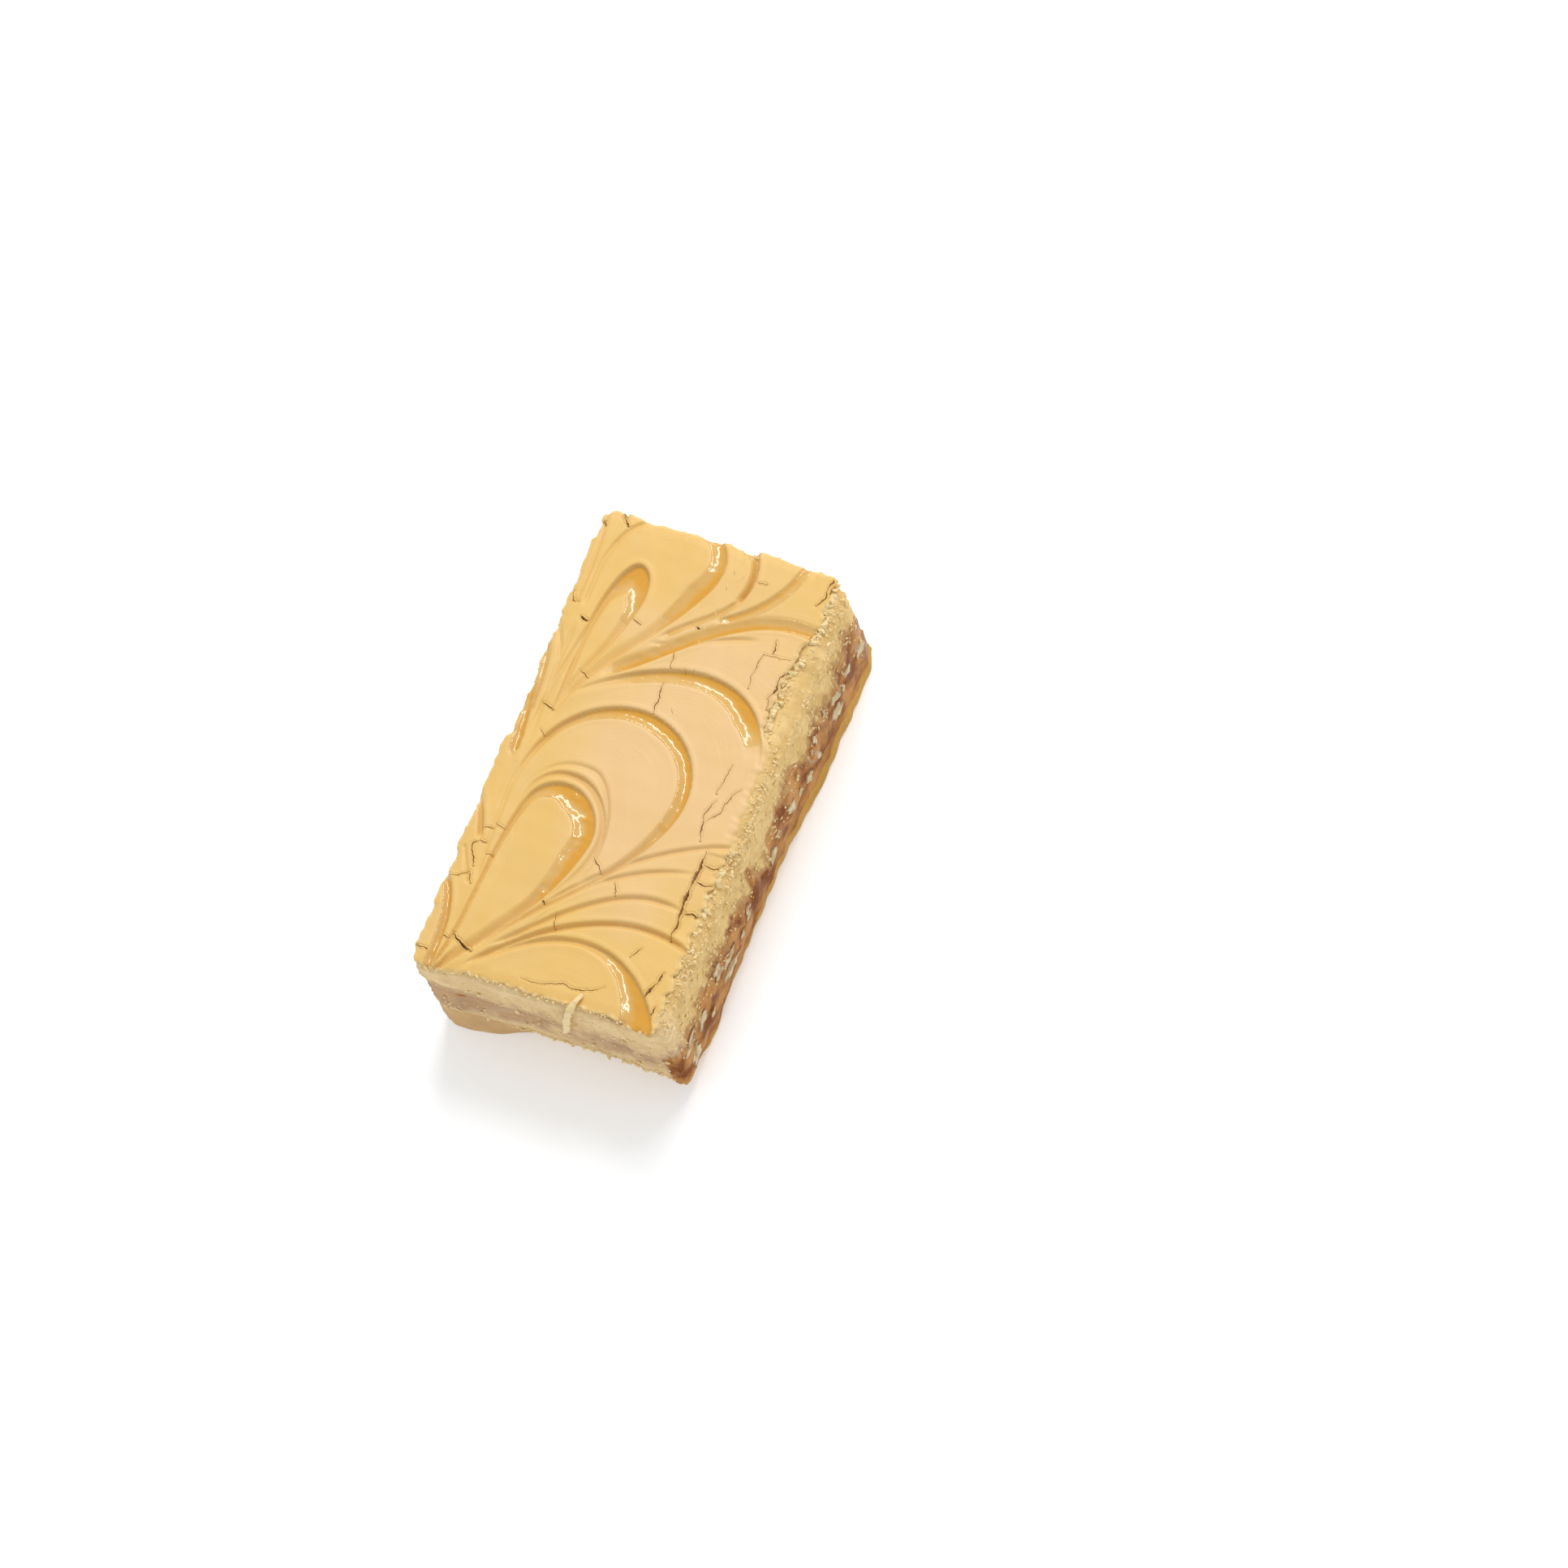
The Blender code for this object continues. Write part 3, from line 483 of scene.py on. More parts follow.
def caramel_top(x, y, wave):
    """Height of the seam above the caramel, wavy where the knife went through it."""
    right, near = side_share(x, y)
    hidden = 3.0 * noise(x, y, 1.0, 7.0, 11) + 1.2 * noise(x, y, 1.0, 3.0, 12)
    right_rise = between(y, CARAMEL_EDGE_Y, CARAMEL_EDGE_Z) - CARAMEL_TOP
    near_rise = 0.5 - 5.0 * x / WIDTH + 1.0 * noise(x, y, 1.0, 4.0, 13)
    rise = right * right_rise + near * near_rise + (1.0 - right - near) * hidden
    return CARAMEL_TOP + rise * wave


def caramel_bottom(x, y, wave):
    """Height of the seam under the caramel."""
    right, near = side_share(x, y)
    hidden = 1.4 * noise(x, y, 2.0, 9.0, 14) + 0.4 * noise(x, y, 2.0, 3.0, 15)
    right_rise = 0.2 + 2.4 * np.cos(2 * np.pi * (y - 4.0) / 90.0) + 0.4 * noise(x, y, 2.0, 3.0, 16)
    near_rise = 2.3 - 1.4 * x / WIDTH + 0.4 * noise(x, y, 2.0, 3.0, 17)
    rise = right * right_rise + near * near_rise + (1.0 - right - near) * hidden
    return BASE_TOP + rise * wave


def linear(text):
    """An sRGB hex colour as linear red, green, blue and full alpha."""
    parts = [int(text[start:start + 2], 16) / 255.0 for start in (1, 3, 5)]
    parts = [part / 12.92 if part <= 0.04045 else ((part + 0.055) / 1.055) ** 2.4 for part in parts]
    return (*parts, 1.0)


def feed(tree, node, sockets):
    """Sets or links a node's inputs, by name or number."""
    for name, value in sockets.items():
        if isinstance(value, bpy.types.NodeSocket):
            tree.links.new(value, node.inputs[name])
        else:
            node.inputs[name].default_value = value


def add(tree, kind, sockets, **settings):
    """Adds a node with its settings and inputs, and returns its outputs."""
    new = tree.nodes.new(kind)
    for name, value in settings.items():
        setattr(new, name, value)
    feed(tree, new, sockets)
    return new.outputs


def spot(tree):
    """The place on the object, in metres."""
    return add(tree, "ShaderNodeTexCoord", {})["Object"]


def mark(tree, name):
    """One of the marks that surface() gave the piece."""
    return add(tree, "ShaderNodeAttribute", {}, attribute_name=name)["Fac"]


def cloud(tree, place, scale, detail, **sockets):
    """Smooth random values round 0.5."""
    sockets = {"Vector": place, "Scale": scale, "Detail": detail, **sockets}
    return add(tree, "ShaderNodeTexNoise", sockets)["Fac"]


def remap(tree, value, start, end, low=0.0, high=1.0):
    """Takes start to low and end to high, evenly in between, and holds them beyond."""
    sockets = {"Value": value, "From Min": start, "From Max": end, "To Min": low, "To Max": high}
    return add(tree, "ShaderNodeMapRange", sockets)[0]


def calculate(tree, operation, *values):
    """One step of arithmetic on sockets and numbers."""
    return add(tree, "ShaderNodeMath", dict(enumerate(values)), operation=operation)[0]


def mix(tree, share, first, second):
    """From the first colour to the second as the share rises. Each is a hex colour or a socket."""
    first, second = (linear(side) if isinstance(side, str) else side for side in (first, second))
    return add(tree, "ShaderNodeMix", {0: share, 6: first, 7: second}, data_type="RGBA")[2]


def bumps(tree, height, strength, distance):
    """Bumps of at most distance, in metres."""
    return add(tree, "ShaderNodeBump", {"Height": height, "Strength": strength, "Distance": distance})[0]


def material(name, finish):
    new = bpy.data.materials.new(name)
    new.use_nodes = True
    finish(new.node_tree, new.node_tree.nodes["Principled BSDF"])
    return new


def put(name, data, matrix=None):
    """A new object in the scene, at the origin unless a matrix is given."""
    thing = bpy.data.objects.new(name, data)
    bpy.context.collection.objects.link(thing)
    if matrix is not None:
        thing.matrix_world = matrix
    return thing


def surface(name, points, quads, caps, look, marks, smooth=True):
    """A piece from points in millimetres, an array of quads and lists of cap corners, with its
    marks as attributes of its points."""
    mesh = bpy.data.meshes.new(name)
    corners = np.concatenate([np.asarray(quads).ravel(), *caps]).astype(np.int32)
    sizes = np.concatenate([np.full(len(quads), 4), [len(cap) for cap in caps]]).astype(np.int32)
    starts = np.concatenate([[0], np.cumsum(sizes)[:-1]]).astype(np.int32)
    mesh.vertices.add(len(points))
    mesh.loops.add(len(corners))
    mesh.polygons.add(len(sizes))
    mesh.vertices.foreach_set("co", (np.asarray(points) * 0.001).astype(np.float32).ravel())
    mesh.loops.foreach_set("vertex_index", corners)
    mesh.polygons.foreach_set("loop_start", starts)
    mesh.polygons.foreach_set("use_smooth", np.full(len(sizes), smooth))
    mesh.update(calc_edges=True)
    mesh.validate()
    for mark_name, values in marks.items():
        attribute = mesh.attributes.new(mark_name, "FLOAT", "POINT")
        attribute.data.foreach_set("value", np.asarray(values, np.float32))
    mesh.materials.append(look)
    piece = put(name, mesh)
    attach(piece, "root")
    return piece


def shell(name, rings, look, marks):
    """A closed piece from rings of points that run from its top, out and down its sides and in
    under it, with flat ends."""
    here = np.arange(len(rings[0]))
    caps = [here, (len(rings) - 1) * len(here) + here[::-1]]
    return surface(name, np.concatenate(rings), bands(len(rings), len(here)), caps, look, marks)


def bands(count, size, first=0):
    """Quads between each of count closed rings and the next, each of size points, outside first."""
    upper = first + np.arange(count - 1)[:, None] * size + np.arange(size)
    after = first + np.arange(count - 1)[:, None] * size + np.roll(np.arange(size), -1)
    return np.stack([upper, upper + size, after + size, after], -1).reshape(-1, 4)


def rim_points(step):
    """Points once round the outline, anticlockwise, on the unit pattern's four sides."""
    columns = int(round(WIDTH / step))
    rows = int(round(LENGTH / step))
    across = np.linspace(-1.0, 1.0, columns + 1)
    along = np.linspace(-1.0, 1.0, rows + 1)
    near = np.stack([across[:-1], np.full(columns, -1.0)], 1)
    right = np.stack([np.full(rows, 1.0), along[:-1]], 1)
    far = np.stack([across[:0:-1], np.full(columns, 1.0)], 1)
    left = np.stack([np.full(rows, -1.0), along[:0:-1]], 1)
    return np.concatenate([near, right, far, left])


def ring(rim, inset, height, rough):
    """One ring of points round the slice, set in from the outline and roughened outwards by lumps
    of three sizes and by upright furrows that the knife dragged."""
    x, y = outline(rim[:, 0], rim[:, 1])
    out_x, out_y = outward(x, y)
    x, y = rounded(x, y)
    z = np.broadcast_to(height, x.shape)
    lumps = 0.75 * noise(x, y, z, 3.2, 21) + 0.4 * noise(x, y, z, 1.3, 22)
    lumps = lumps + 0.35 * noise(x, y, z, 0.6, 23) + 0.25 * noise(x, y, z * 0.15, 0.8, 24)
    lumps = lumps * rough
    x = x * (1.0 - inset / (WIDTH / 2)) + out_x * lumps
    y = y * (1.0 - inset / (LENGTH / 2)) + out_y * lumps
    return np.stack([x, y, z], 1)


def seam_rings(rim, seam, shift):
    """Two smooth rings that carry a wavy seam, given as a function, in towards the middle, where it
    levels off. They are shifted off the seam, up for the layer above it and down for the other."""
    x, y = outline(rim[:, 0], rim[:, 1])
    return [ring(rim, inset, seam(x, y, wave) + shift, 0.0) for inset, wave in ((2.0, 0.6), (5.0, 0.0))]


def caramel_amount(points, gap):
    """How much caramel shows on a cut side, from 0 for bare fudge over a thin grey-brown smear to
    1 for clear caramel. It rises with the depth below the seam, from a height gap above it, and is
    broken up by blotches and upright drag lines. The near side is only smeared, but for one hole."""
    x, y, z = points.T
    near = side_share(x, y)[1]
    blotch = noise(x, y, z * 0.7, 3.4, 101) + 0.6 * noise(x, y, z, 1.4, 102)
    drag = noise(x, y, z * 0.16, 1.3, 103) + 0.5 * noise(x, y, z * 0.2, 0.6, 104)
    clear = 0.66 - gap / 6.5 + 0.5 * blotch + 0.45 * drag
    clear = clear - 0.6 * ease((drag + 0.3 * blotch - 0.45) / 0.35) * ease((gap + 6.0) / 3.0)
    clear = np.maximum(clear, 0.2 * ease(blotch + 0.1) * ease((HEIGHT - 4.0 - z) / 4.0))
    thin = 0.42 - 0.1 * np.maximum(gap, 0.0) + 0.3 * blotch + 0.15 * drag
    hole = 1.25 - np.hypot((x + 19.0) / 2.0, (z - 19.5) / 1.1)
    thin = thin + 0.24 * ease((-x - 4.0) / 16.0) * ease((25.0 - z) / 5.0)
    thin = thin - 0.4 * ease((13.5 - z + 1.5 * blotch) / 3.0)
    amount = clear * (1.0 - near) + near * np.maximum(np.minimum(thin, 0.62), hole)
    return np.clip(amount, 0.0, 1.0)


def sugar_crust(tree, shader):
    """Penuche that set under a palette knife: satin tan sugar, finely brushed along the strokes,
    golden where caramel soaked it, pale where it tore, darkened by painted shade in its grooves and
    cracks."""
    place = spot(tree)
    wet = mark(tree, "wet")
    split = add(tree, "ShaderNodeSeparateXYZ", {0: place})
    lie = add(tree, "ShaderNodeCombineXYZ", {0: mark(tree, "stroke"), 1: split[0], 2: split[1]})[0]
    # Stroke distance is in millimetres and the place in metres, so brush lines about 0.3 mm apart
    # run on for about 20 mm
    stretch = add(tree, "ShaderNodeVectorMath", {0: lie, 1: (3.0, 60.0, 60.0)}, operation="MULTIPLY")[0]
    brushed = cloud(tree, stretch, 1.0, 3.0, Roughness=0.6)
    tone = remap(tree, cloud(tree, place, 60.0, 4.0), 0.35, 0.65, -0.25, 0.25)
    colour = mix(tree, calculate(tree, "ADD", mark(tree, "golden"), tone), "#E6C086", "#E5BB6A")
    colour = mix(tree, remap(tree, brushed, 0.35, 0.7, 0.0, 0.2), colour, "#DDB272")
    # Painted shade: the crust is darkened where it drops into a groove, more where the groove is deeper
    colour = mix(tree, remap(tree, mark(tree, "drop"), 0.25, 1.5, 0.0, 0.6), colour, "#CA9A50")
    colour = mix(tree, calculate(tree, "MULTIPLY", wet, 0.6), colour, "#DDAD61")
    colour = mix(tree, mark(tree, "torn"), colour, "#E9CD8F")
    # Painted shade: the crack mark paints the crust dark brown down inside the cracks
    colour = mix(tree, mark(tree, "crack"), colour, "#8E5E30")
    relief = calculate(tree, "MULTIPLY_ADD", brushed, 2.0, cloud(tree, place, 2500.0, 2.0))
    feed(tree, shader, {"Base Color": colour, "Roughness": remap(tree, wet, 0.0, 1.0, 0.48, 0.3),
                        "IOR": 1.45, "Normal": bumps(tree, relief, 0.13, 0.0002)})


def pooled_caramel(tree, shader):
    """Thin caramel poured into the grooves: a wet gloss over tan sugar, deeper and more orange
    where it lies thick, with a finely wrinkled skin."""
    place = spot(tree)
    depth = calculate(tree, "MULTIPLY_ADD", cloud(tree, place, 120.0, 2.0), 0.2, mark(tree, "thick"))
    colour = mix(tree, remap(tree, depth, 0.13, 0.42), "#DCB36D", "#D99F39")
    skin = cloud(tree, place, 1100.0, 2.0)
    feed(tree, shader, {"Base Color": colour, "Roughness": 0.1, "IOR": 1.48,
                        "Subsurface Weight": 0.1, "Subsurface Radius": (1.0, 0.5, 0.2),
                        "Subsurface Scale": 0.001, "Normal": bumps(tree, skin, 0.3, 0.00015)})


def near_painted_light(tree, place, colour):
    """The colour of a cut with painted light: paler and cooler on the near side, which the white table
    lights.
    """
    along = add(tree, "ShaderNodeSeparateXYZ", {0: place})[1]
    # Painted light: the near side of a cut is made paler and cooler
    return mix(tree, remap(tree, along, -0.044, -0.048, 0.0, 0.18), colour, "#F2E4D8")


def knife_cut(tree, shader):
    """The cut through fudge and caramel: dull tan sugar with pale torn grains and painted shade in its
    pits, turned grey-brown where caramel is smeared thinly over it, and red-brown and glossy where it is
    clear."""
    place = spot(tree)
    caramel = mark(tree, "caramel")
    tone = remap(tree, cloud(tree, place, 210.0, 4.0), 0.38, 0.6)
    # Torn grains are about 0.6 mm across
    grains = add(tree, "ShaderNodeTexVoronoi", {"Vector": place, "Scale": 900.0, "Randomness": 1.0})
    pale = remap(tree, grains["Distance"], 0.34, 0.14, 0.0, 0.7)
    torn = calculate(tree, "MULTIPLY", pale, remap(tree, cloud(tree, place, 450.0, 2.0), 0.5, 0.6))
    pits = cloud(tree, place, 380.0, 5.0, Roughness=0.65, Distortion=1.5)
    fudge = mix(tree, torn, mix(tree, tone, "#DDBA7A", "#E9C98C"), "#F3DFA8")
    # Painted shade: the fudge is darkened in its small pits
    fudge = mix(tree, remap(tree, pits, 0.42, 0.27, 0.0, 0.6), fudge, "#B48E4E")
    fudge = mix(tree, remap(tree, caramel, 0.05, 0.5), fudge, "#BA925E")
    clear = mix(tree, tone, *CLEAR_CARAMEL)
    colour = mix(tree, remap(tree, caramel, 0.5, 0.95), near_painted_light(tree, place, fudge), clear)
    relief = calculate(tree, "MULTIPLY", calculate(tree, "ADD", pits, torn),
                       remap(tree, caramel, 0.0, 0.9, 1.0, 0.25))
    feed(tree, shader, {"Base Color": colour, "Roughness": remap(tree, caramel, 0.3, 0.85, 0.6, 0.2),
                        "Specular IOR Level": 0.015, "Normal": bumps(tree, relief, 0.55, 0.0005)})


def chopped_pecan(tree, shader):
    """Pecan cut by the knife: cream, slightly mealy meat inside a thin orange-brown skin, stained
    in places by the caramel that the knife drew over it."""
    place = spot(tree)
    meal = cloud(tree, place, 500.0, 3.0)
    meat = mix(tree, remap(tree, meal, 0.35, 0.68), "#DDD0A8", "#C2AA7A")
    stain = remap(tree, cloud(tree, place, 330.0, 3.0), 0.46, 0.6, 0.0, 0.8)
    colour = mix(tree, mark(tree, "skin"), mix(tree, stain, meat, "#A5774C"), "#8F5A30")
    feed(tree, shader, {"Base Color": colour, "Roughness": 0.42, "Specular IOR Level": 0.2,
                        "Normal": bumps(tree, meal, 0.35, 0.0005)})


def dense_fudge(tree, shader):
    """The base: finer, smoother fudge than the top, matt tan with painted shade in its small pits, and
    red-brown where the knife drew caramel down over it."""
    place = spot(tree)
    wide = cloud(tree, place, 140.0, 4.0)
    tone = remap(tree, wide, 0.35, 0.65)
    pits = add(tree, "ShaderNodeTexVoronoi", {"Vector": place, "Scale": 420.0})["Distance"]
    # Painted shade: the fudge is darkened in its small pits
    fudge = mix(tree, remap(tree, pits, 0.16, 0.08, 0.0, 0.6), mix(tree, tone, "#BF9044", "#CDA052"),
                "#9A6F34")
    clear = mix(tree, tone, *CLEAR_CARAMEL)
    colour = mix(tree, mark(tree, "smear"), near_painted_light(tree, place, fudge), clear)
    feed(tree, shader, {"Base Color": colour, "Roughness": 0.5, "Specular IOR Level": 0.03,
                        "Normal": bumps(tree, wide, 0.4, 0.0004)})


def loose_crumb(tree, shader):
    """Crumbs torn from the cut: pale, matt sugar grains."""
    colour = mix(tree, cloud(tree, spot(tree), 300.0, 2.0), "#E2C384", "#F3E0AE")
    feed(tree, shader, {"Base Color": colour, "Roughness": 0.6})


def white_paint(tree, shader):
    """Matt white of the table, which glows a little so that the shadow on it stays light."""
    feed(tree, shader, {"Base Color": (0.95, 0.95, 0.95, 1.0), "Roughness": 0.9,
                        "Specular IOR Level": 0.0, "Emission Color": (0.86, 0.94, 1.0, 1.0),
                        "Emission Strength": 0.28})


def build_crust(look, caramel):
    """The crust is a slab: its top is the swirl's relief on a fine grid, its edges are ragged walls
    and its underside is flat. The caramel lies on it as a second sheet."""
    across = np.linspace(-1.0, 1.0, CRUST_COLUMNS + 1)
    along = np.linspace(-1.0, 1.0, CRUST_ROWS + 1)
    along, across = np.meshgrid(along, across, indexing="ij")
    x, y = crust_outline(across.ravel(), along.ravel())
    z, pool_z, wet, stroke, drop, edge = crust_height(x, y)
    top = np.stack([x, y, z - crack_cut(x, y)], 1)
    number = np.arange(len(top)).reshape(CRUST_ROWS + 1, CRUST_COLUMNS + 1)
    cells = np.stack(
        [number[:-1, :-1], number[:-1, 1:], number[1:, 1:], number[1:, :-1]], -1).reshape(-1, 4)
    rim = np.concatenate([number[0, :-1], number[:-1, -1], number[-1, :0:-1], number[:0:-1, 0]])
    brink = top[rim]
    out_x, out_y = outward(brink[:, 0] + 2.0 * (brink[:, 0] > 20), brink[:, 1])
    rings = []
    for fall, inset in ((0.2, -0.06), (0.55, 0.02), (0.95, 0.12), (1.3, 0.25), (CRUST_THICKNESS, 0.5)):
        wall = brink.copy()
        level = brink[:, 2] + (HEIGHT - 0.9 - brink[:, 2]) * ease(fall / 1.2) * 0.4
        wall[:, 2] = level - fall * 0.85
        ragged = 0.3 * noise(wall[:, 0], wall[:, 1], wall[:, 2] * 2.0, 0.9, 62) * (fall > 0.3)
        wall[:, 0] -= out_x * (inset + ragged)
        wall[:, 1] -= out_y * (inset + ragged)
        rings.append(wall)
    rings.append(brink * np.array([0.9, 0.95, 0.0]) + np.array([0.0, 0.0, HEIGHT - 2.6]))
    size = len(rim)
    first = len(top)
    here = np.arange(size)
    collar = np.stack([rim, first + here, first + np.roll(here, -1), np.roll(rim, -1)], 1)
    quads = np.concatenate([cells, collar, bands(len(rings), size, first)])
    cap = first + (len(rings) - 1) * size + here[::-1]
    points = np.concatenate([top, *rings])
    sides = np.zeros(len(points) - len(top))
    marks = {name: np.concatenate([values, sides])
             for name, values in (("drop", drop), ("wet", wet), ("stroke", stroke))}
    marks["crack"] = np.zeros(len(points))
    marks["torn"] = np.concatenate([edge * 0.6, sides + 0.8])
    marks["golden"] = gold_share(points)
    build_glaze(caramel, x, y, z, pool_z, wet, cells)
    return surface("swirled_crust", points, quads, [cap], look, marks)


def gold_share(points):
    """How golden the crust is: least on the plates right of the middle, most at the ends."""
    x, y = points.T[:2]
    reach = ((x - 8.0) / 27.0) ** 2 + ((y - 6.0) / 42.0) ** 2
    return ease((reach - 0.1) / 1.0 + 0.25 * noise(x, y, 0.0, 14.0, 65))


def build_cracks(look):
    """The cracks' walls: a narrow cut with sharp lips, carried along each crack's jagged line over
    the room made for it in the crust. Its outer flanges dip just under the crust."""
    points, quads, caps, cracks = [], [], [], []
    count = 0
    for given, width, depth in CRACKS:
        line, widths, depths = crack_line(given, width, depth)
        along = np.gradient(line, axis=0)
        along /= np.hypot(*along.T)[:, None]
        left, right = (widths * (1.0 + 0.3 * noise(*line.T, 4.0, 0.5, seed)) for seed in (46, 47))
        asides = (-right - 0.5, -right - 0.12, -right, -0.4 * right, 0.4 * left, left, left + 0.12,
                  left + 0.5, left + 0.5, -right - 0.5)
        falls = (0.08, -0.012, 0.03, depths, depths, 0.03, -0.012, 0.08, depths + 0.4, depths + 0.4)
        # Share of painted shade at each point of a crack's profile: none on the crust, some on the lips,
        # full down in the cut
        shares = (0.0, 0.0, 0.45, 1.0, 1.0, 0.45, 0.0, 0.0, 0.0, 0.0)
        profile = []
        for aside, fall in zip(asides, falls):
            x = line[:, 0] - along[:, 1] * aside
            y = line[:, 1] + along[:, 0] * aside
            profile.append(np.stack([x, y, crust_height(x, y)[0] - fall], 1))
        profile = np.stack(profile, 1)
        stations, size = profile.shape[:2]
        points.append(profile.reshape(-1, 3))
        quads.append(bands(stations, size, count))
        caps += [np.arange(size) + count, (np.arange(size) + count + (stations - 1) * size)[::-1]]
        cracks.append(np.tile(shares, stations))
        count += stations * size
    points = np.concatenate(points)
    marks = {name: np.zeros(len(points)) for name in ("drop", "wet", "torn", "stroke")}
    marks["crack"] = np.concatenate(cracks)
    marks["golden"] = gold_share(points)
    return surface("crust_cracks", points, np.concatenate(quads), caps, look, marks)


def build_glaze(look, x, y, crust_z, pool_z, wet, cells):
    """The caramel in the grooves: a wrinkled film a little above the crust where it is wet, a pool
    with a level top in the deep, sunk out of sight elsewhere. It is most restless round the near
    petal's tip. Only the cells that may show are kept, and a copy of them lower down with walls
    between closes the sheet."""
    restless = 0.5 + ease(noise(x, y, 8.0, 8.0, 70) + 0.4)
    restless = restless + 1.1 * np.exp(-((x + 5.0) ** 2 + (y + 9.0) ** 2) / 60.0)
    wrinkle = 0.055 * noise(x, y, 8.0, 1.5, 71) + 0.042 * noise(x, y, 8.0, 0.8, 72)
    edge = wet + 0.25 * noise(x, y, 8.0, 2.6, 73)
    film = -0.16 + 0.24 * ease((edge - 0.25) / 0.6)
    z = np.maximum(pool_z, crust_z) + film + wrinkle * restless * ease(wet)
    shown = (z > crust_z - 0.06)
    kept = cells[shown[cells].any(axis=1)]
    used = np.unique(kept)
    new = np.full(len(x), -1)
    new[used] = np.arange(len(used))
    kept = new[kept]
    count = len(used)
    upper = np.stack([x[used], y[used], z[used]], 1)
    lower = upper.copy()
    lower[:, 2] = crust_z[used] - 0.3
    ahead = np.concatenate([kept[:, [0, 1]], kept[:, [1, 2]], kept[:, [2, 3]], kept[:, [3, 0]]])
    key = ahead[:, 0] * count + ahead[:, 1]
    back = ahead[:, 1] * count + ahead[:, 0]
    border = ahead[~np.isin(key, back)]
    walls = np.stack([border[:, 1], border[:, 0], border[:, 0] + count, border[:, 1] + count], 1)
    quads = np.concatenate([kept, kept[:, ::-1] + count, walls])
    thick = np.clip(z - crust_z, 0.0, 1.0)[used]
    marks = {"thick": np.concatenate([thick, thick])}
    points = np.concatenate([upper, lower])
    return surface("caramel_glaze", points, quads, [], look, marks)


def shoulder_height(x, y):
    """The top layer's torn shoulder to the right of the crust: lower than the crust, sloping
    outwards, lumpy and crumbly."""
    drop = np.interp(y, BREAK_Y, BREAK_DROP) + 0.15 + 0.8 * ease((x - 24.6) / 2.6)
    rough = 0.3 * noise(x, y, 0.0, 2.6, 80) + 0.16 * noise(x, y, 0.0, 1.2, 81)
    return HEIGHT - drop + rough + 0.12 * noise(x, y, 0.0, 0.6, 82)


def build_fudge_body(look):
    """The top layer's crumbly body: rings from under the crust out over the broken shoulder, down
    the cut sides to the wavy seam, and in under it."""
    rim = rim_points(RIM_STEP)
    x, y = outline(rim[:, 0], rim[:, 1])
    right, near = side_share(x, y)
    rings = []
    for inset in np.linspace(8.0, 0.3, SHOULDER_ROWS):
        flat = ring(rim, inset, 0.0, 0.0)
        px, py = flat[:, 0], flat[:, 1]
        edge = np.interp(py, BREAK_Y, BREAK_X) - 3.4 * bump(py, -31.0, -12.0, 0.8)
        bare = ease((px - edge + 1.6) / 1.2)
        round_off = 0.8 * (1.0 - ease((inset - 0.2) / 1.3)) + 0.2 * near * (1.0 - ease(inset / 0.6))
        filled = 1.1 * near * (1.0 - ease((inset - 1.0) / 0.5)) * (1.0 - bump(px, 14.0, 25.0, 2.0))
        covered = HEIGHT - 0.5 - (1.5 - filled) * ease((inset - 0.3) / 0.8)
        flat[:, 2] = shoulder_height(px, py) * bare + covered * (1.0 - bare) - round_off
        rings.append(flat)
    brink = rings[-1][:, 2] - 0.35
    seam = caramel_top(x, y, 1.0)
    lip = 0.22 * noise(x, y, 3.0, 5.0, 92) + 0.08 * noise(x, y, 3.0, 1.2, 93)
    for share in np.linspace(0.0, 1.0, SIDE_ROWS):
        height = brink + (seam - brink) * share
        torn = 0.36 + 0.2 * right * ease(1.0 - share * 2.2)
        inset = 0.1 - 0.45 * near * bump(share, 0.04, 0.5 + lip, 0.08)
        rings.append(ring(rim, inset, height, torn * np.minimum(1.0, (1.02 - share) * 4.0)))
    rings += seam_rings(rim, caramel_top, 0.02)
    points = np.concatenate(rings)
    gap = points[:, 2] - np.tile(seam, len(rings))
    amount = caramel_amount(points, gap) * ease((HEIGHT - 1.6 - points[:, 2]) / 2.0)
    return shell("fudge_body", rings, look, {"caramel": amount})


def build_caramel(look):
    """The caramel layer: smooth bulging sides between its two seams, smeared with fudge."""
    rim = rim_points(RIM_STEP)
    x, y = outline(rim[:, 0], rim[:, 1])
    near = side_share(x, y)[1]
    upper = caramel_top(x, y, 1.0)
    lower = caramel_bottom(x, y, 1.0)
    rings = seam_rings(rim, caramel_top, -0.02)[::-1]
    for share in np.linspace(0.0, 1.0, CARAMEL_ROWS):
        height = upper + (lower - upper) * share
        middle = np.sin(np.pi * share)
        rings.append(ring(rim, 0.1 - 0.1 * middle, height, (0.24 + 0.16 * near) * middle))
    rings += seam_rings(rim, caramel_bottom, 0.02)
    points = np.concatenate(rings)
    gap = points[:, 2] - np.tile(upper, len(rings))
    return shell("caramel_sides", rings, look, {"caramel": caramel_amount(points, gap)})


def base_cut(x, y):
    """How far the foot of the base lies in from the right side and from the near one."""
    nearness = ease((-y - 34.0) / 17.0)
    rightness = ease((x - 13.0) / 13.0)
    cut_x = 1.5 * rightness * bump(y, -28.0, 4.0, 14.0) + 2.2 * rightness * nearness
    return cut_x, 3.6 * nearness * ease((x + 18.0) / 12.0)


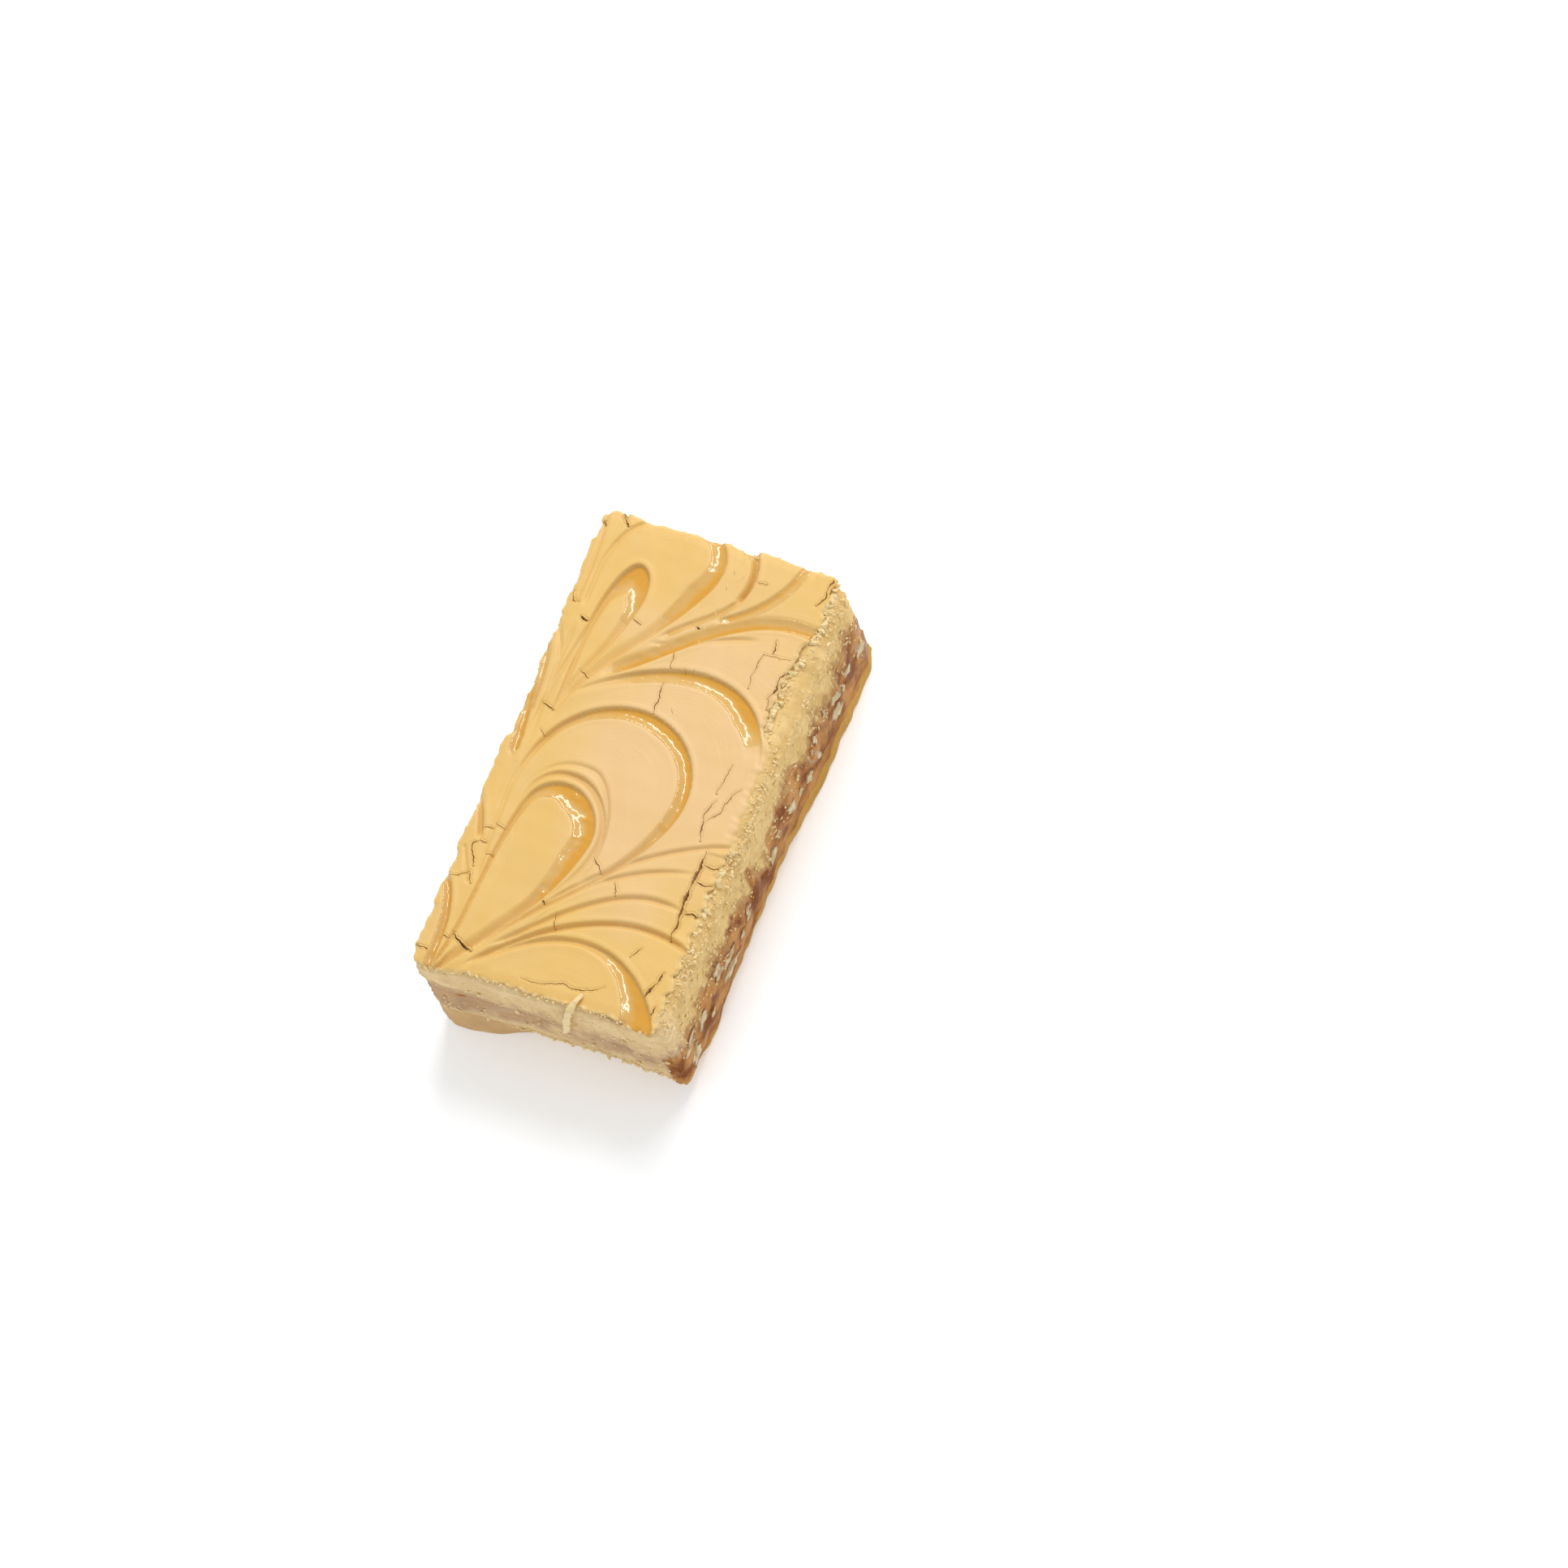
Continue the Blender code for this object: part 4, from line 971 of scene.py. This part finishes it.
def build_base(look):
    """The base: its near side is cut back under the slice, its near right corner is broken, and
    caramel is drawn down over the top of its right side."""
    rim = rim_points(BASE_STEP)
    x, y = outline(rim[:, 0], rim[:, 1])
    cut_x, cut_y = base_cut(x, y)
    upper = caramel_bottom(x, y, 1.0)
    rings = seam_rings(rim, caramel_bottom, -0.02)[::-1]
    for share in np.linspace(0.0, 1.0, BASE_ROWS):
        foot = 0.5 * ease((share - 0.93) / 0.07)
        side = ring(rim, 0.12 + foot, upper * (1.0 - share), 0.34 * np.sin(np.pi * share))
        side[:, 0] -= cut_x * share
        side[:, 1] += cut_y * share
        rings.append(side)
    x, y, z = np.concatenate(rings).T
    bare = between(y, BARE_BASE_Y, BARE_BASE_Z) + 0.7 * noise(x, y, z, 2.2, 91)
    smear = ease(side_share(x, y)[0] * 2.0) * ease((z - bare) / 0.9 + 0.5)
    return shell("base_fudge_body", rings, look, {"smear": smear})


def pecan_piece(place, height, wide, tall, side, random):
    """One chopped pecan at a cut side: a lumpy ball whose lobes follow three waves, cut off flat
    just outside the caramel. Returns its points and skin marks."""
    polar = np.linspace(0.04, np.pi - 0.04, PECAN_ROWS)
    around = np.linspace(0.0, 2 * np.pi, PECAN_COLUMNS, endpoint=False)
    polar, around = (grid.ravel() for grid in np.meshgrid(polar, around, indexing="ij"))
    phase = random.uniform(0.0, 6.28, 3)
    lobes = 1.0 + 0.18 * np.sin(2 * around + phase[0]) + 0.12 * np.sin(3 * around + phase[1])
    lobes = lobes + 0.07 * np.sin(5 * around + phase[2])
    lobes = lobes + 0.45 * noise(2.0 * np.cos(around) + place, 2.0 * np.sin(around), height, 0.9, 94)
    tilt = random.uniform(-0.5, 0.5)
    across = np.sin(polar) * np.cos(around) * lobes * wide / 2
    up = np.sin(polar) * np.sin(around) * lobes * tall / 2
    across, up = across * np.cos(tilt) - up * np.sin(tilt), across * np.sin(tilt) + up * np.cos(tilt)
    deep = np.cos(polar) * 2.2
    cut = 0.42 + 0.24 * noise(across + place, up + height, 0.0, 1.0, 95)
    out = np.where(deep > cut, cut + (deep - cut) * 0.06, deep) - 0.35
    skin = ease((np.sin(polar) - 0.72) / 0.2) * (0.6 + 0.4 * np.sin(around + phase[0]))
    if side == "far":
        x, y = outline((place + across) / (WIDTH / 2), 1.0)
        y = y + out
    else:
        sign = 1.0 if side == "right" else -1.0
        x, y = outline(sign, (place + across) / (LENGTH / 2))
        x = x + sign * out
    return np.stack([x, y, height + up], 1), skin


def build_pecans(look):
    """All pecan pieces in one mesh: those the right side shows, and others spread over the far and
    left sides by rows of even places with random shifts."""
    random = np.random.default_rng(7)
    pieces = [(*nut, "right") for nut in PECANS_RIGHT]
    for side, reach, count in (("left", 45.0, 19), ("far", 20.0, 9)):
        places = np.linspace(-reach, reach, count) + random.uniform(-1.6, 1.6, count)
        for place in places:
            wide = random.uniform(2.2, 5.5)
            pieces.append((place, random.uniform(10.0, 14.5), wide, wide * random.uniform(0.7, 1.1), side))
    points, quads, caps, skins = [], [], [], []
    end = np.arange(PECAN_COLUMNS)
    for number, nut in enumerate(pieces):
        new, skin = pecan_piece(*nut, random)
        first = number * len(new)
        rows = bands(PECAN_ROWS, PECAN_COLUMNS, first)
        ends = [end + first, end[::-1] + first + len(new) - PECAN_COLUMNS]
        if nut[-1] != "far":
            rows = rows[:, ::-1]
            ends = [corners[::-1] for corners in ends]
        points.append(new)
        quads.append(rows)
        caps += ends
        skins.append(skin)
    return surface("pecan_pieces", np.concatenate(points), np.concatenate(quads), caps, look,
                   {"skin": np.concatenate(skins)})


def crumb_cloud(centres, sizes, random):
    """Many small crumbs: twenty-sided lumps, one at each centre, each stretched along a direction of
    its own and with its corners pushed in or out at random."""
    golden = (1.0 + 5.0 ** 0.5) / 2.0
    corners = [(a, b * golden, 0) for a in (-1, 1) for b in (-1, 1)]
    corners += [(0, a, b * golden) for a in (-1, 1) for b in (-1, 1)]
    corners += [(b * golden, 0, a) for a in (-1, 1) for b in (-1, 1)]
    corners = np.array(corners) / np.hypot(1.0, golden)
    faces = []
    for trio in itertools.combinations(range(12), 3):
        a, b, c = corners[list(trio)]
        if max(np.linalg.norm(a - b), np.linalg.norm(b - c), np.linalg.norm(c - a)) < 1.2:
            turned = np.dot(np.cross(b - a, c - a), a) < 0
            faces.append(trio[::-1] if turned else trio)
    count = len(centres)
    shape = corners * random.uniform(0.65, 1.2, (count, 12, 1))
    long = random.normal(size=(count, 1, 3))
    long /= np.linalg.norm(long, axis=2, keepdims=True)
    stretch = random.uniform(0.0, 1.3, (count, 1, 1))
    shape = shape + long * (shape * long).sum(axis=2, keepdims=True) * stretch
    points = centres[:, None] + shape * sizes[:, None, None]
    return points.reshape(-1, 3), (np.array(faces) + np.arange(count)[:, None, None] * 12).reshape(-1, 3)


def build_crumbs(look):
    """Crumbs on the cut: along the broken edge, on the shoulder, over the sides and along the near
    side's torn lips."""
    random = np.random.default_rng(11)
    centres, sizes = [], []

    def scatter(x, y, z, small, large):
        x, y = rounded(x, y)
        centres.append(np.stack([x, y, z], 1))
        sizes.append(small + (large - small) * random.uniform(0.0, 1.0, len(x)) ** 2.5)

    count = 520
    y = random.uniform(-50.5, 51.0, count)
    edge = crust_edges(25.0, y)[1] - 3.4 * bump(y, -31.0, -12.0, 0.8)
    x = edge + 1.8 * random.uniform(0.0, 1.0, count) ** 2 - 0.1 + 1.2 * bump(y, -9.0, 11.0, 2.0)
    x = np.minimum(x, 27.0)
    scatter(x, y, shoulder_height(x, y) + random.uniform(-0.1, 0.25, count), 0.06, 0.34)
    y = np.concatenate([random.uniform(*reach) for reach in
                        ((14.0, 33.0, 110), (36.0, 50.5, 60), (-33.0, -10.0, 60))])
    x = crust_edges(25.0, y)[1] + random.uniform(-0.2, 1.1, len(y))
    scatter(x, y, shoulder_height(x, y) + random.uniform(-0.1, 0.2, len(y)), 0.25, 0.75)
    count = 500
    y = random.uniform(-50.5, 51.0, count)
    x = np.minimum(np.interp(y, BREAK_Y, BREAK_X) + random.uniform(0.0, 2.6, count), 27.0)
    scatter(x, y, shoulder_height(x, y) + 0.03, 0.08, 0.3)
    for side, count in ((1.0, 1300), (-1.0, 1000)):
        y = random.uniform(-49.5, 49.5, count)
        z = HEIGHT - 1.5 - 17.0 * random.uniform(0.0, 1.0, count) ** 1.4
        x = outline(side, y / (LENGTH / 2))[0] + side * random.uniform(-0.25, 0.12, count)
        scatter(x, y, z, 0.07, 0.36)
    for side, count in ((1.0, 600), (-1.0, 420)):
        x = random.uniform(-25.5, 25.5, count)
        z = HEIGHT - 1.4 - 20.0 * random.uniform(0.0, 1.0, count) ** 1.2
        y = outline(x / (WIDTH / 2), side)[1] + side * random.uniform(-0.25, 0.15, count)
        scatter(x, y, z, 0.06, 0.45)
    count = 170
    x = random.uniform(-26.0, 26.0, count)
    y = crust_edges(x, -51.0)[2] + random.uniform(-0.45, 0.1, count)
    scatter(x, y, HEIGHT - 0.65 + random.uniform(-0.6, 0.1, count), 0.06, 0.34)
    count = 260
    y = random.uniform(-45.0, 50.0, count)
    x = outline(1.0, y / (LENGTH / 2))[0]
    x = x - base_cut(x, y)[0] - random.uniform(0.2, 0.5, count)
    scatter(x, y, 0.4 + 1.2 * random.uniform(0.0, 1.0, count) ** 2, 0.06, 0.22)
    x = random.uniform(-12.0, 25.0, count)
    y = outline(x / (WIDTH / 2), -1.0)[1] + random.uniform(-0.1, 0.5, count)
    scatter(x, y, caramel_bottom(x, y, 1.0) + random.uniform(-0.3, 0.9, count), 0.1, 0.5)
    points, faces = crumb_cloud(np.concatenate(centres), np.concatenate(sizes), random)
    return surface("fudge_crumbs", points, np.zeros((0, 4), int), list(faces), look, {},
                   smooth=False)


def build_hanging_crumb(look):
    """A torn strip of fudge that hangs over the near edge: a flat oval profile carried along a path
    from the top, over the lip and down the cut, its width swelling and shrinking on the way."""
    path = np.array([(8.9, -47.6, 31.6), (8.2, -49.6, 31.9), (7.6, -51.6, 31.0), (6.6, -52.0, 28.0),
                     (5.4, -51.9, 24.0), (4.6, -51.9, 20.5), (3.4, -51.7, 17.3)])
    place = np.linspace(0.0, 1.0, STRIP_ROWS)
    knots = np.linspace(0.0, 1.0, len(path))
    centre = np.stack([np.interp(place, knots, side) for side in path.T], 1)
    centre = centre + 0.18 * np.stack([noise(place * 30, 0.0, n, 1.6, 97 + n) for n in range(3)], 1)
    around = np.linspace(0.0, 2 * np.pi, STRIP_COLUMNS, endpoint=False)
    taper = np.sin(np.pi * (0.04 + 0.92 * place)) ** 0.4
    width = (0.85 + 0.25 * noise(place * 30, 1.0, 0.0, 2.2, 98)) * taper
    lumps = 1.0 + 0.25 * noise(1.5 * np.cos(around), 1.5 * np.sin(around), place[:, None] * 30, 1.1, 99)
    tilt = np.interp(place, (0.0, 0.3, 0.45, 1.0), (0.0, 0.3, 1.45, 1.5))
    side = width[:, None] * np.cos(around) * lumps
    lift = 0.45 * width[:, None] * np.sin(around) * lumps
    points = np.stack([
        centre[:, :1] + side,
        centre[:, 1:2] - lift * np.sin(tilt)[:, None],
        centre[:, 2:] + lift * np.cos(tilt)[:, None],
    ], -1).reshape(-1, 3)
    quads = bands(STRIP_ROWS, STRIP_COLUMNS)[:, ::-1]
    end = np.arange(STRIP_COLUMNS)
    caps = [end[::-1], end + (STRIP_ROWS - 1) * STRIP_COLUMNS]
    return surface("hanging_crumb", points, quads, caps, look, {})


def soft_box(name, ends, width, aim, power):
    """A long soft light between two ends, turned to its aim."""
    first, last = (Vector(end) for end in ends)
    middle = (first + last) / 2
    back = (middle - Vector(aim)).normalized()
    side = (last - first).cross(back).normalized()
    length = back.cross(side)
    lamp = bpy.data.lights.new(name, "AREA")
    lamp.shape = "RECTANGLE"
    lamp.size = (last - first).length
    lamp.size_y = width
    lamp.energy = power
    turn = Matrix((-length, side, back)).transposed()
    put(name, lamp, Matrix.Translation(middle) @ turn.to_4x4())


def build_studio():
    """White table and walls, one long soft box over the far end, and the camera."""
    mesh = bpy.data.meshes.new("table")
    corners = [(-TABLE_REACH, -TABLE_REACH, 0), (TABLE_REACH, -TABLE_REACH, 0),
               (TABLE_REACH, TABLE_REACH, 0), (-TABLE_REACH, TABLE_REACH, 0)]
    mesh.from_pydata(corners, [], [(0, 1, 2, 3)])
    mesh.materials.append(material("white_table", white_paint))
    put("table", mesh)
    world = bpy.data.worlds.new("white_room")
    world.use_nodes = True
    feed(world.node_tree, world.node_tree.nodes["Background"],
         {"Color": (1.0, 1.0, 1.0, 1.0), "Strength": ROOM_LIGHT})
    bpy.context.scene.world = world
    soft_box("key", KEY_ENDS, KEY_WIDTH, KEY_AIM, KEY_POWER)
    bpy.context.scene.view_settings.view_transform = "Standard"
    lens = bpy.data.cameras.new("camera")
    lens.lens = CAMERA_LENS
    lens.clip_end = 20.0
    sight = Vector(CAMERA_SIGHT).normalized()
    right = sight.cross(Vector(CAMERA_UP)).normalized()
    turn = Matrix((right, right.cross(sight), -sight)).transposed()
    bpy.context.scene.camera = put("camera", lens, Matrix.Translation(CAMERA_PLACE) @ turn.to_4x4())


build_studio()
crust_look = material("brushed_sugar_crust", sugar_crust)
cut_look = material("knife_cut_fudge_and_caramel", knife_cut)
crumb_look = material("loose_crumb", loose_crumb)
build_crust(crust_look, material("pooled_caramel", pooled_caramel))
build_cracks(crust_look)
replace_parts(build_fudge_body(cut_look), "top_fudge")
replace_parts(build_caramel(cut_look), "caramel_layer")
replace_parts(build_base(material("dense_fudge", dense_fudge)), "base_fudge")
build_pecans(material("chopped_pecan", chopped_pecan))
build_crumbs(crumb_look)
build_hanging_crumb(crumb_look)
